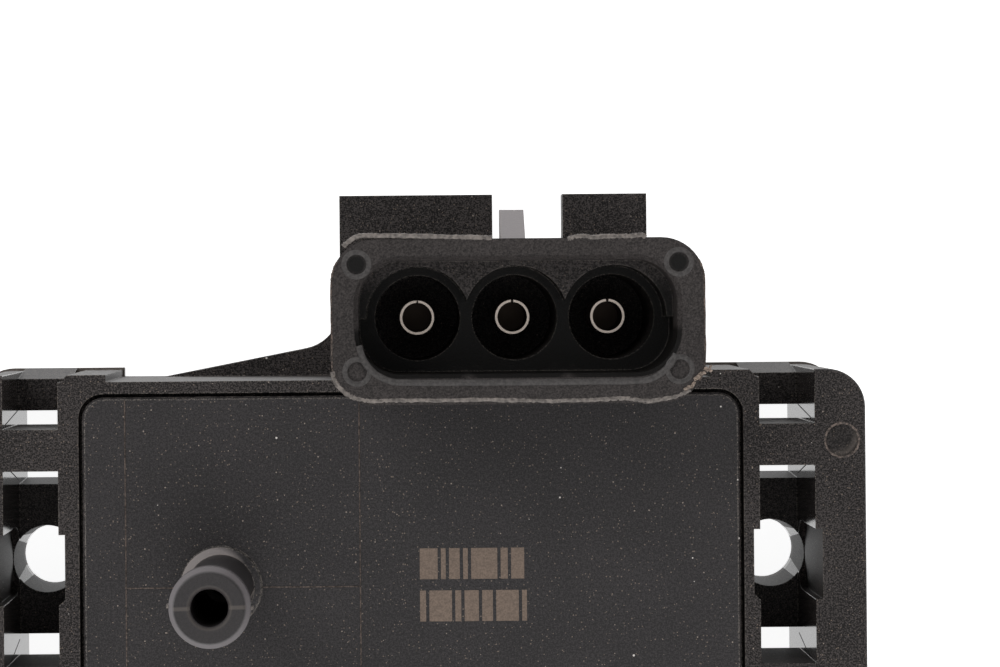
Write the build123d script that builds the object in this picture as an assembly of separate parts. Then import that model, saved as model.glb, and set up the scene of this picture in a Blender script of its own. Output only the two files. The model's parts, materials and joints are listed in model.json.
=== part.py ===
from build123d import *
import os

# Manifold absolute pressure sensor, in millimetres
# Origin: midpoint of the two screw holes, on the rear face that bolts to the engine
# +X along the screw holes, +Y towards the electrical socket, +Z out of the cover

# Housing box
BODY_DEPTH = 20.0
BODY_HALF_HEIGHT = 15.8
BODY_HALF_WIDTH = 29.5
FLOOR_THICKNESS = 2.2
POST_WIDTH = 4.05
POST_STEP = 0.6
POST_CHAMFER = 0.8

# Mounting ears
SCREW_OFFSET = 2.25
SCREW_HOLE_RADIUS = 2.65
SCREW_HOLE_LAND = 1.5
SCREW_FRONT_RADIUS = 2.95
SCREW_NOTCH_HALF = 2.97
SCREW_NOTCH_RISE = 3.0
SCREW_NOTCH_CORNER = 0.5
POST_NOTCH_DEPTH = 0.53
WALL_NOTCH_DEPTH = 0.6
WINDOW_WIDTH = 4.65
EAR_WALL = 4.3
EAR_CORNER_RADIUS = 3.2
EAR_EDGE_RADIUS = 0.35
REAR_PLATE_THICKNESS = 7.0
MIDDLE_PLATE_HALF = 6.55
MIDDLE_PLATE_DRAFT = 0.25
RIB_GAP = 1.78
RIB_WIDTH = 3.5
SLIT = 1.2
SHUT_OFF = 0.5
FLANGE_RISE = 0.2
FLANGE_EDGE = 1.0
PLATE_SLOPE = 0.8
FLANGE_REACH = 4.2
EAR_MARK_RADIUS = 1.4
EAR_MARK_DEPTH = 0.2
EAR_MARK_HEIGHT = 10.4
EAR_MARK_INSET = 2.0

# Cover and its hose nipple
COVER_LENGTH = 55.3
COVER_HEIGHT = 29.0
COVER_THICKNESS = 2.0
COVER_CORNER_RADIUS = 1.8
COVER_EDGE = 0.2
COVER_GAP = 0.3
COVER_SHIFT = 0.2
NIPPLE_X = -15.85
NIPPLE_Y = -1.5
NIPPLE_LENGTH = 19.5
NIPPLE_BORE_RADIUS = 1.48
NIPPLE_BORE_LEAD = 0.25
NIPPLE_NECK_RADIUS = 2.8
NIPPLE_BARB_RADIUS = 3.25
NIPPLE_TIP_RADIUS = 2.75
NIPPLE_TIP_LENGTH = 0.7
NIPPLE_BARB_LAND = 1.2
NIPPLE_SHOULDER_LENGTH = 1.4
NIPPLE_COLLAR_RADIUS = 3.4
NIPPLE_COLLAR_SLOPE = 0.25
NIPPLE_COLLAR_HEIGHT = 1.0
SOCKET_WALL = 1.5
SOCKET_DEPTH = 5.0

# Seal between the cover and the ledge that it lies on
LEDGE_WIDTH = 1.6
SEAL_WIDTH = 0.8
SEAL_DEPTH = 0.8
CAVITY_CORNER_RADIUS = 1.2

# Electrical socket
SHROUD_X = 8.8
SHROUD_Y = 20.75
SHROUD_LENGTH = 30.0
SHROUD_HEIGHT = 13.3
SHROUD_CORNER_RADIUS = 3.5
SHROUD_RISE = 13.5
SHROUD_DRAFT = 2.0
TERMINAL_PITCH = 8.0
TERMINAL_COUNT = 3
TERMINAL_RISE = 0.25
UPPER_BORE_RADIUS = 4.25
UPPER_BORE_DEPTH = 4.0
LOWER_BORE_RADIUS = 3.5
SOCKET_FLOOR_DROP = 7.0
MOUTH_RISE = 0.1
MOUTH_END_STEP = 0.55
MOUTH_SIDE_STEP = 0.3
MOUTH_CORNER_RADIUS = 3.4
MOUTH_LEAD = 0.4
MOUTH_LEAD_DEPTH = 0.5
MOUTH_DEPTH = 4.5
RIM_MARK_RADIUS = 0.75
RIM_MARK_DEPTH = 0.15
RIM_MARK_END_INSET = 0.27
RIM_MARK_SIDE_INSET = 0.65

# Rear plate, latch ramp and cores behind the socket
BACK_PLATE_THICKNESS = 3.0
BACK_PLATE_LEFT = 14.7
BACK_PLATE_RIGHT = 12.62
BACK_PLATE_RISE = 11.0
LATCH_GAP_LEFT = 1.1
LATCH_GAP_RIGHT = 5.15
LATCH_GAP_FLOOR = 6.0
GUSSET_REACH = 17.2
GUSSET_RISE = 3.0
GUSSET_RADIUS = 3.8
RAMP_WIDTH = 2.04
RAMP_HEIGHT = 2.6
RAMP_LAND = 0.6
RAMP_FRONT_DROP = 8.9
RAMP_SINK = 0.8
CORE_LENGTH = 6.2
CORE_HEIGHT = 7.2
CORE_DEPTH = 7.0
CORE_CORNER_RADIUS = 1.0

# Terminals, each a rolled tube with a flat tail
PIN_RADIUS = 1.45
PIN_WALL = 0.22
PIN_SEAM = 0.18
PIN_ROOT = 1.0
PIN_SOLID = 1.0
TAIL_WIDTH = 2.0
TAIL_THICKNESS = 0.6
TAIL_FOOT = 1.4
MOULDED_FIT = 0.02

# Circuit board, hung under the cover's seat, and what it stands on
BOARD_LENGTH = 46.0
BOARD_HEIGHT = 20.0
BOARD_THICKNESS = 1.0
BOARD_X = -2.0
BOARD_Y = -0.8
PILLAR_SIZE = 4.0
PILLAR_INSET = 1.0
BOARD_BOND = 0.3

# Pressure cell
CELL_LENGTH = 11.0
CELL_HEIGHT = 10.0
CELL_BASE = 2.6
CELL_FLOOR = 0.8
CELL_WELL = 6.0
CAP_PLATE = 1.2
CAP_GAP = 2.1
PORT_RADIUS = 2.0
PORT_BORE_RADIUS = 0.9
PORT_TOP_GAP = 0.3
PEDESTAL_SIZE = 3.0
PEDESTAL_HEIGHT = 0.7
DIE_SIZE = 2.4
DIE_THICKNESS = 0.4
CELL_LEAD_COUNT = 4
CELL_LEAD_PITCH = 2.2
CELL_LEAD_WIDTH = 0.6
CELL_LEAD_THICKNESS = 0.25
CELL_LEAD_REACH = 1.6
BOND_WIRE_THICKNESS = 0.12
BOND_WIRE_COUNT = 3
BOND_WIRE_PITCH = 0.7
BOND_WIRE_RISE = 0.45
RING_SECTION_RADIUS = 0.85
RING_SECTION_SIDES = 6
RING_FIT = 0.03

# Small pieces on the board
CHIP_LENGTH = 8.6
CHIP_WIDTH = 3.9
CHIP_HEIGHT = 1.4
CHIP_STANDOFF = 0.15
CHIP_EDGE = 0.15
CHIP_LEADS = 7
CHIP_LEAD_PITCH = 1.17
CHIP_LEAD_WIDTH = 0.4
CHIP_LEAD_THICKNESS = 0.2
CHIP_LEAD_REACH = 0.9
CHIP_X = -1.0
CHIP_Y = -3.5
CAPACITOR_LENGTH = 2.0
CAPACITOR_WIDTH = 1.25
CAPACITOR_HEIGHT = 0.9
CAPACITOR_COUNT = 4
CAPACITOR_PITCH = 3.4
CAPACITOR_INSET = 1.4
FILTER_LENGTH = 3.2
FILTER_WIDTH = 1.6
FILTER_HEIGHT = 1.2
FILTER_DROP = 4.6
RESISTOR_LENGTH = 3.0
RESISTOR_WIDTH = 1.6
RESISTOR_HEIGHT = 0.3
RESISTOR_COUNT = 5
RESISTOR_PITCH = 3.2
RESISTOR_X = 12.0
SOLDER_SPREAD = 1.2
SOLDER_HEIGHT = 0.5

# Places worked out from the sizes above
SCREW_X = BODY_HALF_WIDTH + SCREW_OFFSET
EAR_INNER = BODY_HALF_WIDTH + WINDOW_WIDTH
EAR_OUTER = EAR_INNER + EAR_WALL
POST_HALF_HEIGHT = BODY_HALF_HEIGHT + POST_STEP
FLANGE_HALF_HEIGHT = POST_HALF_HEIGHT + FLANGE_RISE
FLANGE_INNER = BODY_HALF_WIDTH - FLANGE_REACH
RIB_INNER = MIDDLE_PLATE_HALF + RIB_GAP
RIB_OUTER = RIB_INNER + RIB_WIDTH
OUTER_PLATE_INNER = RIB_OUTER + SLIT
RIB_REAR = REAR_PLATE_THICKNESS + SHUT_OFF
NOTCH_BOTTOM = REAR_PLATE_THICKNESS + SCREW_NOTCH_RISE

LEDGE_TOP = BODY_DEPTH - COVER_THICKNESS
POCKET_LENGTH = COVER_LENGTH + 2 * COVER_GAP
POCKET_HEIGHT = COVER_HEIGHT + 2 * COVER_GAP
CAVITY_LENGTH = POCKET_LENGTH - 2 * LEDGE_WIDTH
CAVITY_HEIGHT = POCKET_HEIGHT - 2 * LEDGE_WIDTH
SEAL_INSET = (LEDGE_WIDTH - SEAL_WIDTH) / 2

SHROUD_TOP = BODY_DEPTH + SHROUD_RISE
SOCKET_FLOOR = BODY_DEPTH - SOCKET_FLOOR_DROP
TERMINAL_Y = SHROUD_Y + TERMINAL_RISE
TERMINAL_MIDDLE = (TERMINAL_COUNT - 1) / 2
TERMINAL_XS = [SHROUD_X + (i - TERMINAL_MIDDLE) * TERMINAL_PITCH for i in range(TERMINAL_COUNT)]
TERMINAL_SPAN = (TERMINAL_COUNT - 1) * TERMINAL_PITCH
MOUTH_Y = TERMINAL_Y + MOUTH_RISE
MOUTH_LENGTH = TERMINAL_SPAN + 2 * (UPPER_BORE_RADIUS + MOUTH_END_STEP)
MOUTH_HEIGHT = 2 * (UPPER_BORE_RADIUS + MOUTH_SIDE_STEP)
MOUTH_BOTTOM = SHROUD_TOP - MOUTH_DEPTH
UPPER_BORE_BOTTOM = MOUTH_BOTTOM - UPPER_BORE_DEPTH
TAIL_TOP = SOCKET_FLOOR - PIN_ROOT
TAIL_BOTTOM = TAIL_TOP - TAIL_THICKNESS

SEAT_BOTTOM = LEDGE_TOP - SOCKET_DEPTH
CAP_TOP = SEAT_BOTTOM - CAP_GAP
CELL_TOP = CAP_TOP - CAP_PLATE
BOARD_TOP = CELL_TOP - CELL_BASE
BOARD_BOTTOM = BOARD_TOP - BOARD_THICKNESS
PILLAR_TOP = BOARD_BOTTOM - BOARD_BOND
PAD_ACROSS = BOARD_LENGTH / 2 - PILLAR_INSET - PILLAR_SIZE / 2
PAD_UP = BOARD_HEIGHT / 2 - PILLAR_INSET - PILLAR_SIZE / 2
PAD_PLACES = [(BOARD_X + i * PAD_ACROSS, BOARD_Y + j * PAD_UP) for i in (-1, 1) for j in (-1, 1)]
BOARD_UPPER_EDGE = BOARD_Y + BOARD_HEIGHT / 2
BOARD_LOWER_EDGE = BOARD_Y - BOARD_HEIGHT / 2
TAIL_END = BOARD_UPPER_EDGE - TAIL_FOOT - TAIL_THICKNESS

CELL_WELL_FLOOR = BOARD_TOP + CELL_FLOOR
PEDESTAL_TOP = CELL_WELL_FLOOR + PEDESTAL_HEIGHT
DIE_TOP = PEDESTAL_TOP + DIE_THICKNESS
SOCKET_RADIUS = PORT_RADIUS + 2 * RING_SECTION_RADIUS
PORT_TOP = LEDGE_TOP - PORT_TOP_GAP
RING_HEIGHT = PORT_TOP - RING_SECTION_RADIUS - PORT_TOP_GAP


def block(x0, x1, y0, y1, z0, z1):
    """A box between three pairs of planes."""
    centre = Pos((x0 + x1) / 2, (y0 + y1) / 2, (z0 + z1) / 2)
    return centre * Box(x1 - x0, y1 - y0, z1 - z0)


def rod(x, y, radius, z0, z1):
    """A round bar along Z."""
    return Pos(x, y, (z0 + z1) / 2) * Cylinder(radius, z1 - z0)


def slab(x, y, length, height, radius, z0, z1):
    """A plate with rounded corners, centred on x and y."""
    outline = RectangleRounded(length, height, radius)
    return Pos(x, y, z0) * extrude(outline, z1 - z0)


def side_prism(points, x0, x1):
    """A prism along X whose outline is given as points of Y and Z."""
    outline = make_face(Plane.YZ * Polyline(*points, close=True))
    return Pos(x0, 0, 0) * extrude(outline, x1 - x0, dir=(1, 0, 0))


def flat_prism(points, z0, z1):
    """A prism along Z whose outline is given as points of X and Y."""
    outline = make_face(Polyline(*points, close=True))
    return Pos(0, 0, z0) * extrude(outline, z1 - z0)


def turned(points, x, y):
    """A solid of revolution about a vertical axis through x and y."""
    outline = make_face(Plane.XZ * Polyline(*points, close=True))
    return Pos(x, y, 0) * revolve(outline, Axis.Z)


def both_heights(shape):
    """A shape together with its mirror image below the screw axis."""
    return shape + mirror(shape, about=Plane.XZ)


# Housing: the box with its four corner posts
def corner_post():
    """One post at the upper right, taller than the bar beside it and chamfered outside."""
    post = block(BODY_HALF_WIDTH - POST_WIDTH, BODY_HALF_WIDTH, 0, POST_HALF_HEIGHT, 0, BODY_DEPTH)
    corner = post.edges().filter_by(Axis.Z).sort_by(lambda e: e.center().X + e.center().Y)[-1]
    return chamfer(corner, POST_CHAMFER)


# Housing: one ear, an outer wall tied to the box by ribs in front and plates behind
def ear_wall():
    """The outer wall, rounded at its corners and round its front edge."""
    wall = block(EAR_INNER, EAR_OUTER, -POST_HALF_HEIGHT, POST_HALF_HEIGHT, 0, BODY_DEPTH)
    corners = wall.edges().filter_by(Axis.Z).group_by(Axis.X)[-1]
    wall = fillet(corners, EAR_CORNER_RADIUS)
    front = wall.faces().sort_by(Axis.Z)[-1].edges()
    outer = [edge for edge in front if edge.center().X > EAR_INNER + EAR_EDGE_RADIUS]
    return fillet(outer, EAR_EDGE_RADIUS)


def ear_flange():
    """The thin lip at the rear that stands proud above the post and the wall."""
    lip = block(FLANGE_INNER, EAR_OUTER, OUTER_PLATE_INNER, FLANGE_HALF_HEIGHT, 0, FLANGE_EDGE)
    corner = lip.edges().filter_by(Axis.Z).sort_by(lambda e: e.center().X + e.center().Y)[-1]
    return fillet(corner, EAR_CORNER_RADIUS)


def outer_plate():
    """A rear plate beyond the rib, with a sloped outer face."""
    outline = [
        (OUTER_PLATE_INNER, 0),
        (FLANGE_HALF_HEIGHT, 0),
        (FLANGE_HALF_HEIGHT, FLANGE_EDGE),
        (FLANGE_HALF_HEIGHT - PLATE_SLOPE, REAR_PLATE_THICKNESS),
        (OUTER_PLATE_INNER, REAR_PLATE_THICKNESS),
    ]
    return side_prism(outline, BODY_HALF_WIDTH, EAR_INNER)


def middle_plate():
    """The rear plate that carries the screw hole, drafted so that it is widest at the back."""
    foot = MIDDLE_PLATE_HALF + MIDDLE_PLATE_DRAFT
    outline = [
        (-foot, 0),
        (foot, 0),
        (MIDDLE_PLATE_HALF, REAR_PLATE_THICKNESS),
        (-MIDDLE_PLATE_HALF, REAR_PLATE_THICKNESS),
    ]
    return side_prism(outline, BODY_HALF_WIDTH, EAR_INNER)


def ear():
    """The right ear before the screw passage is cut."""
    rib = block(BODY_HALF_WIDTH, EAR_INNER, RIB_INNER, RIB_OUTER, RIB_REAR, BODY_DEPTH)
    pairs = both_heights(rib + outer_plate() + ear_flange() + corner_post())
    return ear_wall() + middle_plate() + pairs


def screw_passage():
    """The tapered hole and the room in front of it, cut a little into the post and the wall."""
    left = BODY_HALF_WIDTH - POST_NOTCH_DEPTH
    right = EAR_INNER + WALL_NOTCH_DEPTH
    outline = [
        (left, SCREW_NOTCH_HALF),
        (BODY_HALF_WIDTH, SCREW_NOTCH_HALF),
        (BODY_HALF_WIDTH, -SCREW_NOTCH_HALF),
        (left, -SCREW_NOTCH_HALF + SCREW_NOTCH_CORNER),
    ]
    round_end = REAR_PLATE_THICKNESS + SCREW_NOTCH_HALF
    room = block(EAR_INNER, right, -SCREW_NOTCH_HALF, SCREW_NOTCH_HALF, round_end, BODY_DEPTH)
    room += Pos((EAR_INNER + right) / 2, 0, round_end) * Rotation(0, 90, 0) * Cylinder(
        SCREW_NOTCH_HALF, WALL_NOTCH_DEPTH)
    half_section = [
        (0, 0),
        (SCREW_HOLE_RADIUS, 0),
        (SCREW_HOLE_RADIUS, SCREW_HOLE_LAND),
        (SCREW_FRONT_RADIUS, REAR_PLATE_THICKNESS),
        (SCREW_FRONT_RADIUS, NOTCH_BOTTOM),
        (0, NOTCH_BOTTOM),
    ]
    return flat_prism(outline, NOTCH_BOTTOM, BODY_DEPTH) + turned(half_section, SCREW_X, 0) + room


def ear_mark():
    """The shallow round mark in the front of the right ear's wall."""
    return rod(
        EAR_OUTER - EAR_MARK_INSET, EAR_MARK_HEIGHT, EAR_MARK_RADIUS,
        BODY_DEPTH - EAR_MARK_DEPTH, BODY_DEPTH)


# Housing: the socket tower beside the box
def shroud():
    """The tower, drafted so that its rim is the widest place."""
    outline = RectangleRounded(SHROUD_LENGTH, SHROUD_HEIGHT, SHROUD_CORNER_RADIUS)
    flare = Pos(SHROUD_X, SHROUD_Y, SHROUD_TOP) * extrude(outline, -SHROUD_RISE, taper=SHROUD_DRAFT)
    root = flare.faces().sort_by(Axis.Z)[0]
    return flare + extrude(root, BODY_DEPTH, dir=(0, 0, -1))


def socket_cut():
    """The mouth with its lead-in, then the overlapping bores, then the separate ones."""
    wide = RectangleRounded(
        MOUTH_LENGTH + 2 * MOUTH_LEAD, MOUTH_HEIGHT + 2 * MOUTH_LEAD, MOUTH_CORNER_RADIUS + MOUTH_LEAD)
    narrow = RectangleRounded(MOUTH_LENGTH, MOUTH_HEIGHT, MOUTH_CORNER_RADIUS)
    lead_bottom = SHROUD_TOP - MOUTH_LEAD_DEPTH
    top = Pos(SHROUD_X, MOUTH_Y, SHROUD_TOP) * wide
    bottom = Pos(SHROUD_X, MOUTH_Y, lead_bottom) * narrow
    cut = loft([top.face(), bottom.face()])
    cut += slab(SHROUD_X, MOUTH_Y, MOUTH_LENGTH, MOUTH_HEIGHT, MOUTH_CORNER_RADIUS,
                MOUTH_BOTTOM, lead_bottom)
    deep = slab(SHROUD_X, MOUTH_Y, MOUTH_LENGTH, MOUTH_HEIGHT, MOUTH_CORNER_RADIUS,
                UPPER_BORE_BOTTOM, MOUTH_BOTTOM)
    shelf = block(
        SHROUD_X - MOUTH_LENGTH / 2, SHROUD_X + MOUTH_LENGTH / 2,
        TERMINAL_Y, MOUTH_Y + MOUTH_HEIGHT / 2, UPPER_BORE_BOTTOM, MOUTH_BOTTOM)
    cut += deep - shelf
    for x in TERMINAL_XS:
        cut += rod(x, TERMINAL_Y, UPPER_BORE_RADIUS, UPPER_BORE_BOTTOM, MOUTH_BOTTOM)
        cut += rod(x, TERMINAL_Y, LOWER_BORE_RADIUS, SOCKET_FLOOR, UPPER_BORE_BOTTOM)
    return cut


def rim_marks():
    """Four shallow round marks in the rim, each beside a corner of the mouth."""
    across = MOUTH_LENGTH / 2 + MOUTH_LEAD - RIM_MARK_END_INSET
    up = MOUTH_HEIGHT / 2 + MOUTH_LEAD - RIM_MARK_SIDE_INSET
    return [
        rod(SHROUD_X + i * across, MOUTH_Y + j * up, RIM_MARK_RADIUS,
            SHROUD_TOP - RIM_MARK_DEPTH, SHROUD_TOP)
        for i in (-1, 1) for j in (-1, 1)
    ]


def back_plate():
    """The plate that the tower stands on, with its gusset and the gap for the latch."""
    left = SHROUD_X - BACK_PLATE_LEFT
    right = SHROUD_X + BACK_PLATE_RIGHT
    top = SHROUD_Y + BACK_PLATE_RISE
    inside = BODY_HALF_HEIGHT - COVER_GAP
    outline = [
        (left - GUSSET_REACH, inside),
        (left, BODY_HALF_HEIGHT + GUSSET_RISE),
        (left, top),
        (right, top),
        (right, inside),
    ]
    plate = flat_prism(outline, 0, BACK_PLATE_THICKNESS)
    inner_corner = plate.edges().filter_by(Axis.Z).sort_by(
        lambda e: abs(e.center().X - left) + abs(e.center().Y - BODY_HALF_HEIGHT - GUSSET_RISE))[0]
    plate = fillet(inner_corner, GUSSET_RADIUS)
    gap = block(
        SHROUD_X - LATCH_GAP_LEFT, SHROUD_X + LATCH_GAP_RIGHT,
        SHROUD_Y + LATCH_GAP_FLOOR, top, 0, BACK_PLATE_THICKNESS)
    return plate - gap


def latch_ramp():
    """The short nub on top of the tower that the plug's latch rides over and hooks behind."""
    foot = TERMINAL_Y + UPPER_BORE_RADIUS
    face = SHROUD_Y + SHROUD_HEIGHT / 2
    outline = [
        (foot, BODY_DEPTH - RAMP_LAND),
        (face + RAMP_HEIGHT, BODY_DEPTH - RAMP_LAND),
        (face + RAMP_HEIGHT, BODY_DEPTH),
        (face - RAMP_SINK, SHROUD_TOP - RAMP_FRONT_DROP),
        (foot, SHROUD_TOP - RAMP_FRONT_DROP),
    ]
    return side_prism(outline, SHROUD_X - RAMP_WIDTH / 2, SHROUD_X + RAMP_WIDTH / 2)


def tail_slot(x):
    """The room that one terminal takes in the moulding."""
    half = TAIL_WIDTH / 2 + MOULDED_FIT
    root = rod(x, TERMINAL_Y, PIN_RADIUS + MOULDED_FIT, TAIL_BOTTOM - MOULDED_FIT, SOCKET_FLOOR)
    tail = block(
        x - half, x + half, CAVITY_HEIGHT / 2, TERMINAL_Y,
        TAIL_BOTTOM - MOULDED_FIT, TAIL_TOP + MOULDED_FIT)
    return root + tail


def pillars():
    """Four square pillars on the floor that carry the board by its corners."""
    half = PILLAR_SIZE / 2
    return [
        block(x - half, x + half, y - half, y + half, FLOOR_THICKNESS - MOULDED_FIT, PILLAR_TOP)
        for x, y in PAD_PLACES
    ]


def seal_ring(z0, z1):
    """A band that follows the ledge all round."""
    outer = slab(
        COVER_SHIFT, 0, POCKET_LENGTH - 2 * SEAL_INSET, POCKET_HEIGHT - 2 * SEAL_INSET,
        COVER_CORNER_RADIUS, z0, z1)
    inner = slab(
        COVER_SHIFT, 0, CAVITY_LENGTH + 2 * SEAL_INSET, CAVITY_HEIGHT + 2 * SEAL_INSET,
        CAVITY_CORNER_RADIUS, z0, z1)
    return outer - inner


def housing():
    """The whole moulding."""
    body = block(-BODY_HALF_WIDTH, BODY_HALF_WIDTH, -BODY_HALF_HEIGHT, BODY_HALF_HEIGHT, 0, BODY_DEPTH)
    right = ear()
    body += right + mirror(right, about=Plane.YZ)
    body += back_plate() + shroud() + latch_ramp()
    body -= slab(COVER_SHIFT, 0, POCKET_LENGTH, POCKET_HEIGHT, COVER_CORNER_RADIUS + COVER_GAP,
                 LEDGE_TOP, BODY_DEPTH)
    body -= slab(COVER_SHIFT, 0, CAVITY_LENGTH, CAVITY_HEIGHT, CAVITY_CORNER_RADIUS,
                 FLOOR_THICKNESS, LEDGE_TOP)
    body -= seal_ring(LEDGE_TOP - SEAL_DEPTH, LEDGE_TOP)
    passage = screw_passage()
    body -= passage
    body -= mirror(passage, about=Plane.YZ)
    body -= ear_mark()
    body -= socket_cut()
    for mark in rim_marks():
        body -= mark
    for x in TERMINAL_XS:
        body -= tail_slot(x)
        body -= slab(x, TERMINAL_Y, CORE_LENGTH, CORE_HEIGHT, CORE_CORNER_RADIUS, 0, CORE_DEPTH)
    for pillar in pillars():
        body += pillar
    return body


# Cover, one moulding with the hose nipple and the socket for the cell's port
def nipple_profile():
    """Half section of the nipple outside, as radius and height."""
    top = BODY_DEPTH + NIPPLE_LENGTH
    barb = top - NIPPLE_TIP_LENGTH
    return [
        (0, LEDGE_TOP),
        (NIPPLE_COLLAR_RADIUS, LEDGE_TOP),
        (NIPPLE_COLLAR_RADIUS, BODY_DEPTH + NIPPLE_COLLAR_HEIGHT - NIPPLE_COLLAR_SLOPE),
        (NIPPLE_NECK_RADIUS, BODY_DEPTH + NIPPLE_COLLAR_HEIGHT),
        (NIPPLE_NECK_RADIUS, barb - NIPPLE_BARB_LAND - NIPPLE_SHOULDER_LENGTH),
        (NIPPLE_BARB_RADIUS, barb - NIPPLE_BARB_LAND),
        (NIPPLE_BARB_RADIUS, barb),
        (NIPPLE_TIP_RADIUS, top),
        (0, top),
    ]


def cover():
    """The plate, the nipple and the seat below it."""
    plate = slab(COVER_SHIFT, 0, COVER_LENGTH, COVER_HEIGHT, COVER_CORNER_RADIUS, LEDGE_TOP, BODY_DEPTH)
    plate = chamfer(plate.faces().sort_by(Axis.Z)[-1].edges(), COVER_EDGE)
    top = BODY_DEPTH + NIPPLE_LENGTH
    shape = plate + turned(nipple_profile(), NIPPLE_X, NIPPLE_Y)
    shape += rod(NIPPLE_X, NIPPLE_Y, SOCKET_RADIUS + SOCKET_WALL, SEAT_BOTTOM, LEDGE_TOP)
    bore = [
        (0, SEAT_BOTTOM),
        (SOCKET_RADIUS, SEAT_BOTTOM),
        (SOCKET_RADIUS, LEDGE_TOP),
        (NIPPLE_BORE_RADIUS, LEDGE_TOP),
        (NIPPLE_BORE_RADIUS, top - NIPPLE_BORE_LEAD),
        (NIPPLE_BORE_RADIUS + NIPPLE_BORE_LEAD, top),
        (0, top),
    ]
    return shape - turned(bore, NIPPLE_X, NIPPLE_Y)


# Terminals
def terminal(x):
    """One terminal: a rolled tube with its seam upwards, a solid root and a bent flat tail."""
    tube = rod(x, TERMINAL_Y, PIN_RADIUS, TAIL_BOTTOM, BODY_DEPTH)
    tube -= rod(x, TERMINAL_Y, PIN_RADIUS - PIN_WALL, SOCKET_FLOOR + PIN_SOLID, BODY_DEPTH)
    tube -= block(
        x - PIN_SEAM / 2, x + PIN_SEAM / 2, TERMINAL_Y, TERMINAL_Y + 2 * PIN_RADIUS,
        SOCKET_FLOOR + PIN_SOLID, BODY_DEPTH)
    half = TAIL_WIDTH / 2
    tail = block(x - half, x + half, TAIL_END, TERMINAL_Y, TAIL_BOTTOM, TAIL_TOP)
    leg = block(x - half, x + half, TAIL_END, TAIL_END + TAIL_THICKNESS, BOARD_TOP, TAIL_TOP)
    foot = block(
        x - half, x + half, TAIL_END - TAIL_FOOT, TAIL_END, BOARD_TOP, BOARD_TOP + TAIL_THICKNESS)
    return tube + tail + leg + foot


def solder_joints():
    """The fillets that fix the three feet to the board."""
    joints = []
    middle = TAIL_END - TAIL_FOOT / 2
    across = (TAIL_WIDTH + SOLDER_SPREAD) / 2
    up = (TAIL_FOOT + SOLDER_SPREAD) / 2
    for x in TERMINAL_XS:
        mound = block(
            x - across, x + across, middle - up, middle + up, BOARD_TOP, BOARD_TOP + SOLDER_HEIGHT)
        mound = chamfer(mound.faces().sort_by(Axis.Z)[-1].edges(), SOLDER_HEIGHT / 2)
        joints.append(mound - terminal(x))
    return Compound(children=joints)


# Board and its bonds
def circuit_board():
    """The ceramic board."""
    return block(
        BOARD_X - BOARD_LENGTH / 2, BOARD_X + BOARD_LENGTH / 2,
        BOARD_Y - BOARD_HEIGHT / 2, BOARD_Y + BOARD_HEIGHT / 2, BOARD_BOTTOM, BOARD_TOP)


def board_adhesive():
    """Four pads of adhesive between the pillars and the board."""
    half = PILLAR_SIZE / 2
    pads = [
        block(x - half, x + half, y - half, y + half, PILLAR_TOP, BOARD_BOTTOM)
        for x, y in PAD_PLACES
    ]
    return Compound(children=pads)


# Pressure cell under the nipple
def cell_body():
    """The cell's tray with its well."""
    tray = slab(NIPPLE_X, NIPPLE_Y, CELL_LENGTH, CELL_HEIGHT, DIE_THICKNESS, BOARD_TOP, CELL_TOP)
    return tray - rod(NIPPLE_X, NIPPLE_Y, CELL_WELL / 2, CELL_WELL_FLOOR, CELL_TOP)


def cell_cap():
    """The lid of the cell with its port tube."""
    plate = slab(NIPPLE_X, NIPPLE_Y, CELL_LENGTH, CELL_HEIGHT, DIE_THICKNESS, CELL_TOP, CAP_TOP)
    tube = rod(NIPPLE_X, NIPPLE_Y, PORT_RADIUS, CAP_TOP, PORT_TOP)
    return plate + tube - rod(NIPPLE_X, NIPPLE_Y, PORT_BORE_RADIUS, CELL_TOP, PORT_TOP)


def square_block(size, z0, z1):
    """A square block on the nipple's axis."""
    half = size / 2
    return block(NIPPLE_X - half, NIPPLE_X + half, NIPPLE_Y - half, NIPPLE_Y + half, z0, z1)


def bond_wires():
    """Fine wires of square section, bent up from the die and down to the floor of the well."""
    wires = []
    half = BOND_WIRE_THICKNESS / 2
    inner = DIE_SIZE / 2 - 2 * BOND_WIRE_THICKNESS
    outer = PEDESTAL_SIZE / 2 + BOND_WIRE_RISE
    crown = DIE_TOP + BOND_WIRE_RISE
    for side in (-1, 1):
        near = NIPPLE_X + side * inner
        far = NIPPLE_X + side * outer
        for i in range(BOND_WIRE_COUNT):
            y = NIPPLE_Y + (i - (BOND_WIRE_COUNT - 1) / 2) * BOND_WIRE_PITCH
            wire = block(min(near, far) - half, max(near, far) + half, y - half, y + half,
                         crown - BOND_WIRE_THICKNESS, crown)
            wire += block(near - half, near + half, y - half, y + half, DIE_TOP, crown)
            wire += block(far - half, far + half, y - half, y + half, CELL_WELL_FLOOR, crown)
            wires.append(wire)
    return Compound(children=wires)


def gel_fill(wires):
    """The soft gel that fills the well over the die."""
    gel = rod(NIPPLE_X, NIPPLE_Y, CELL_WELL / 2, CELL_WELL_FLOOR, CELL_TOP - DIE_THICKNESS)
    gel -= square_block(PEDESTAL_SIZE, CELL_WELL_FLOOR, PEDESTAL_TOP)
    gel -= square_block(DIE_SIZE, PEDESTAL_TOP, DIE_TOP)
    for wire in wires.solids():
        gel -= wire
    return gel


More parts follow.
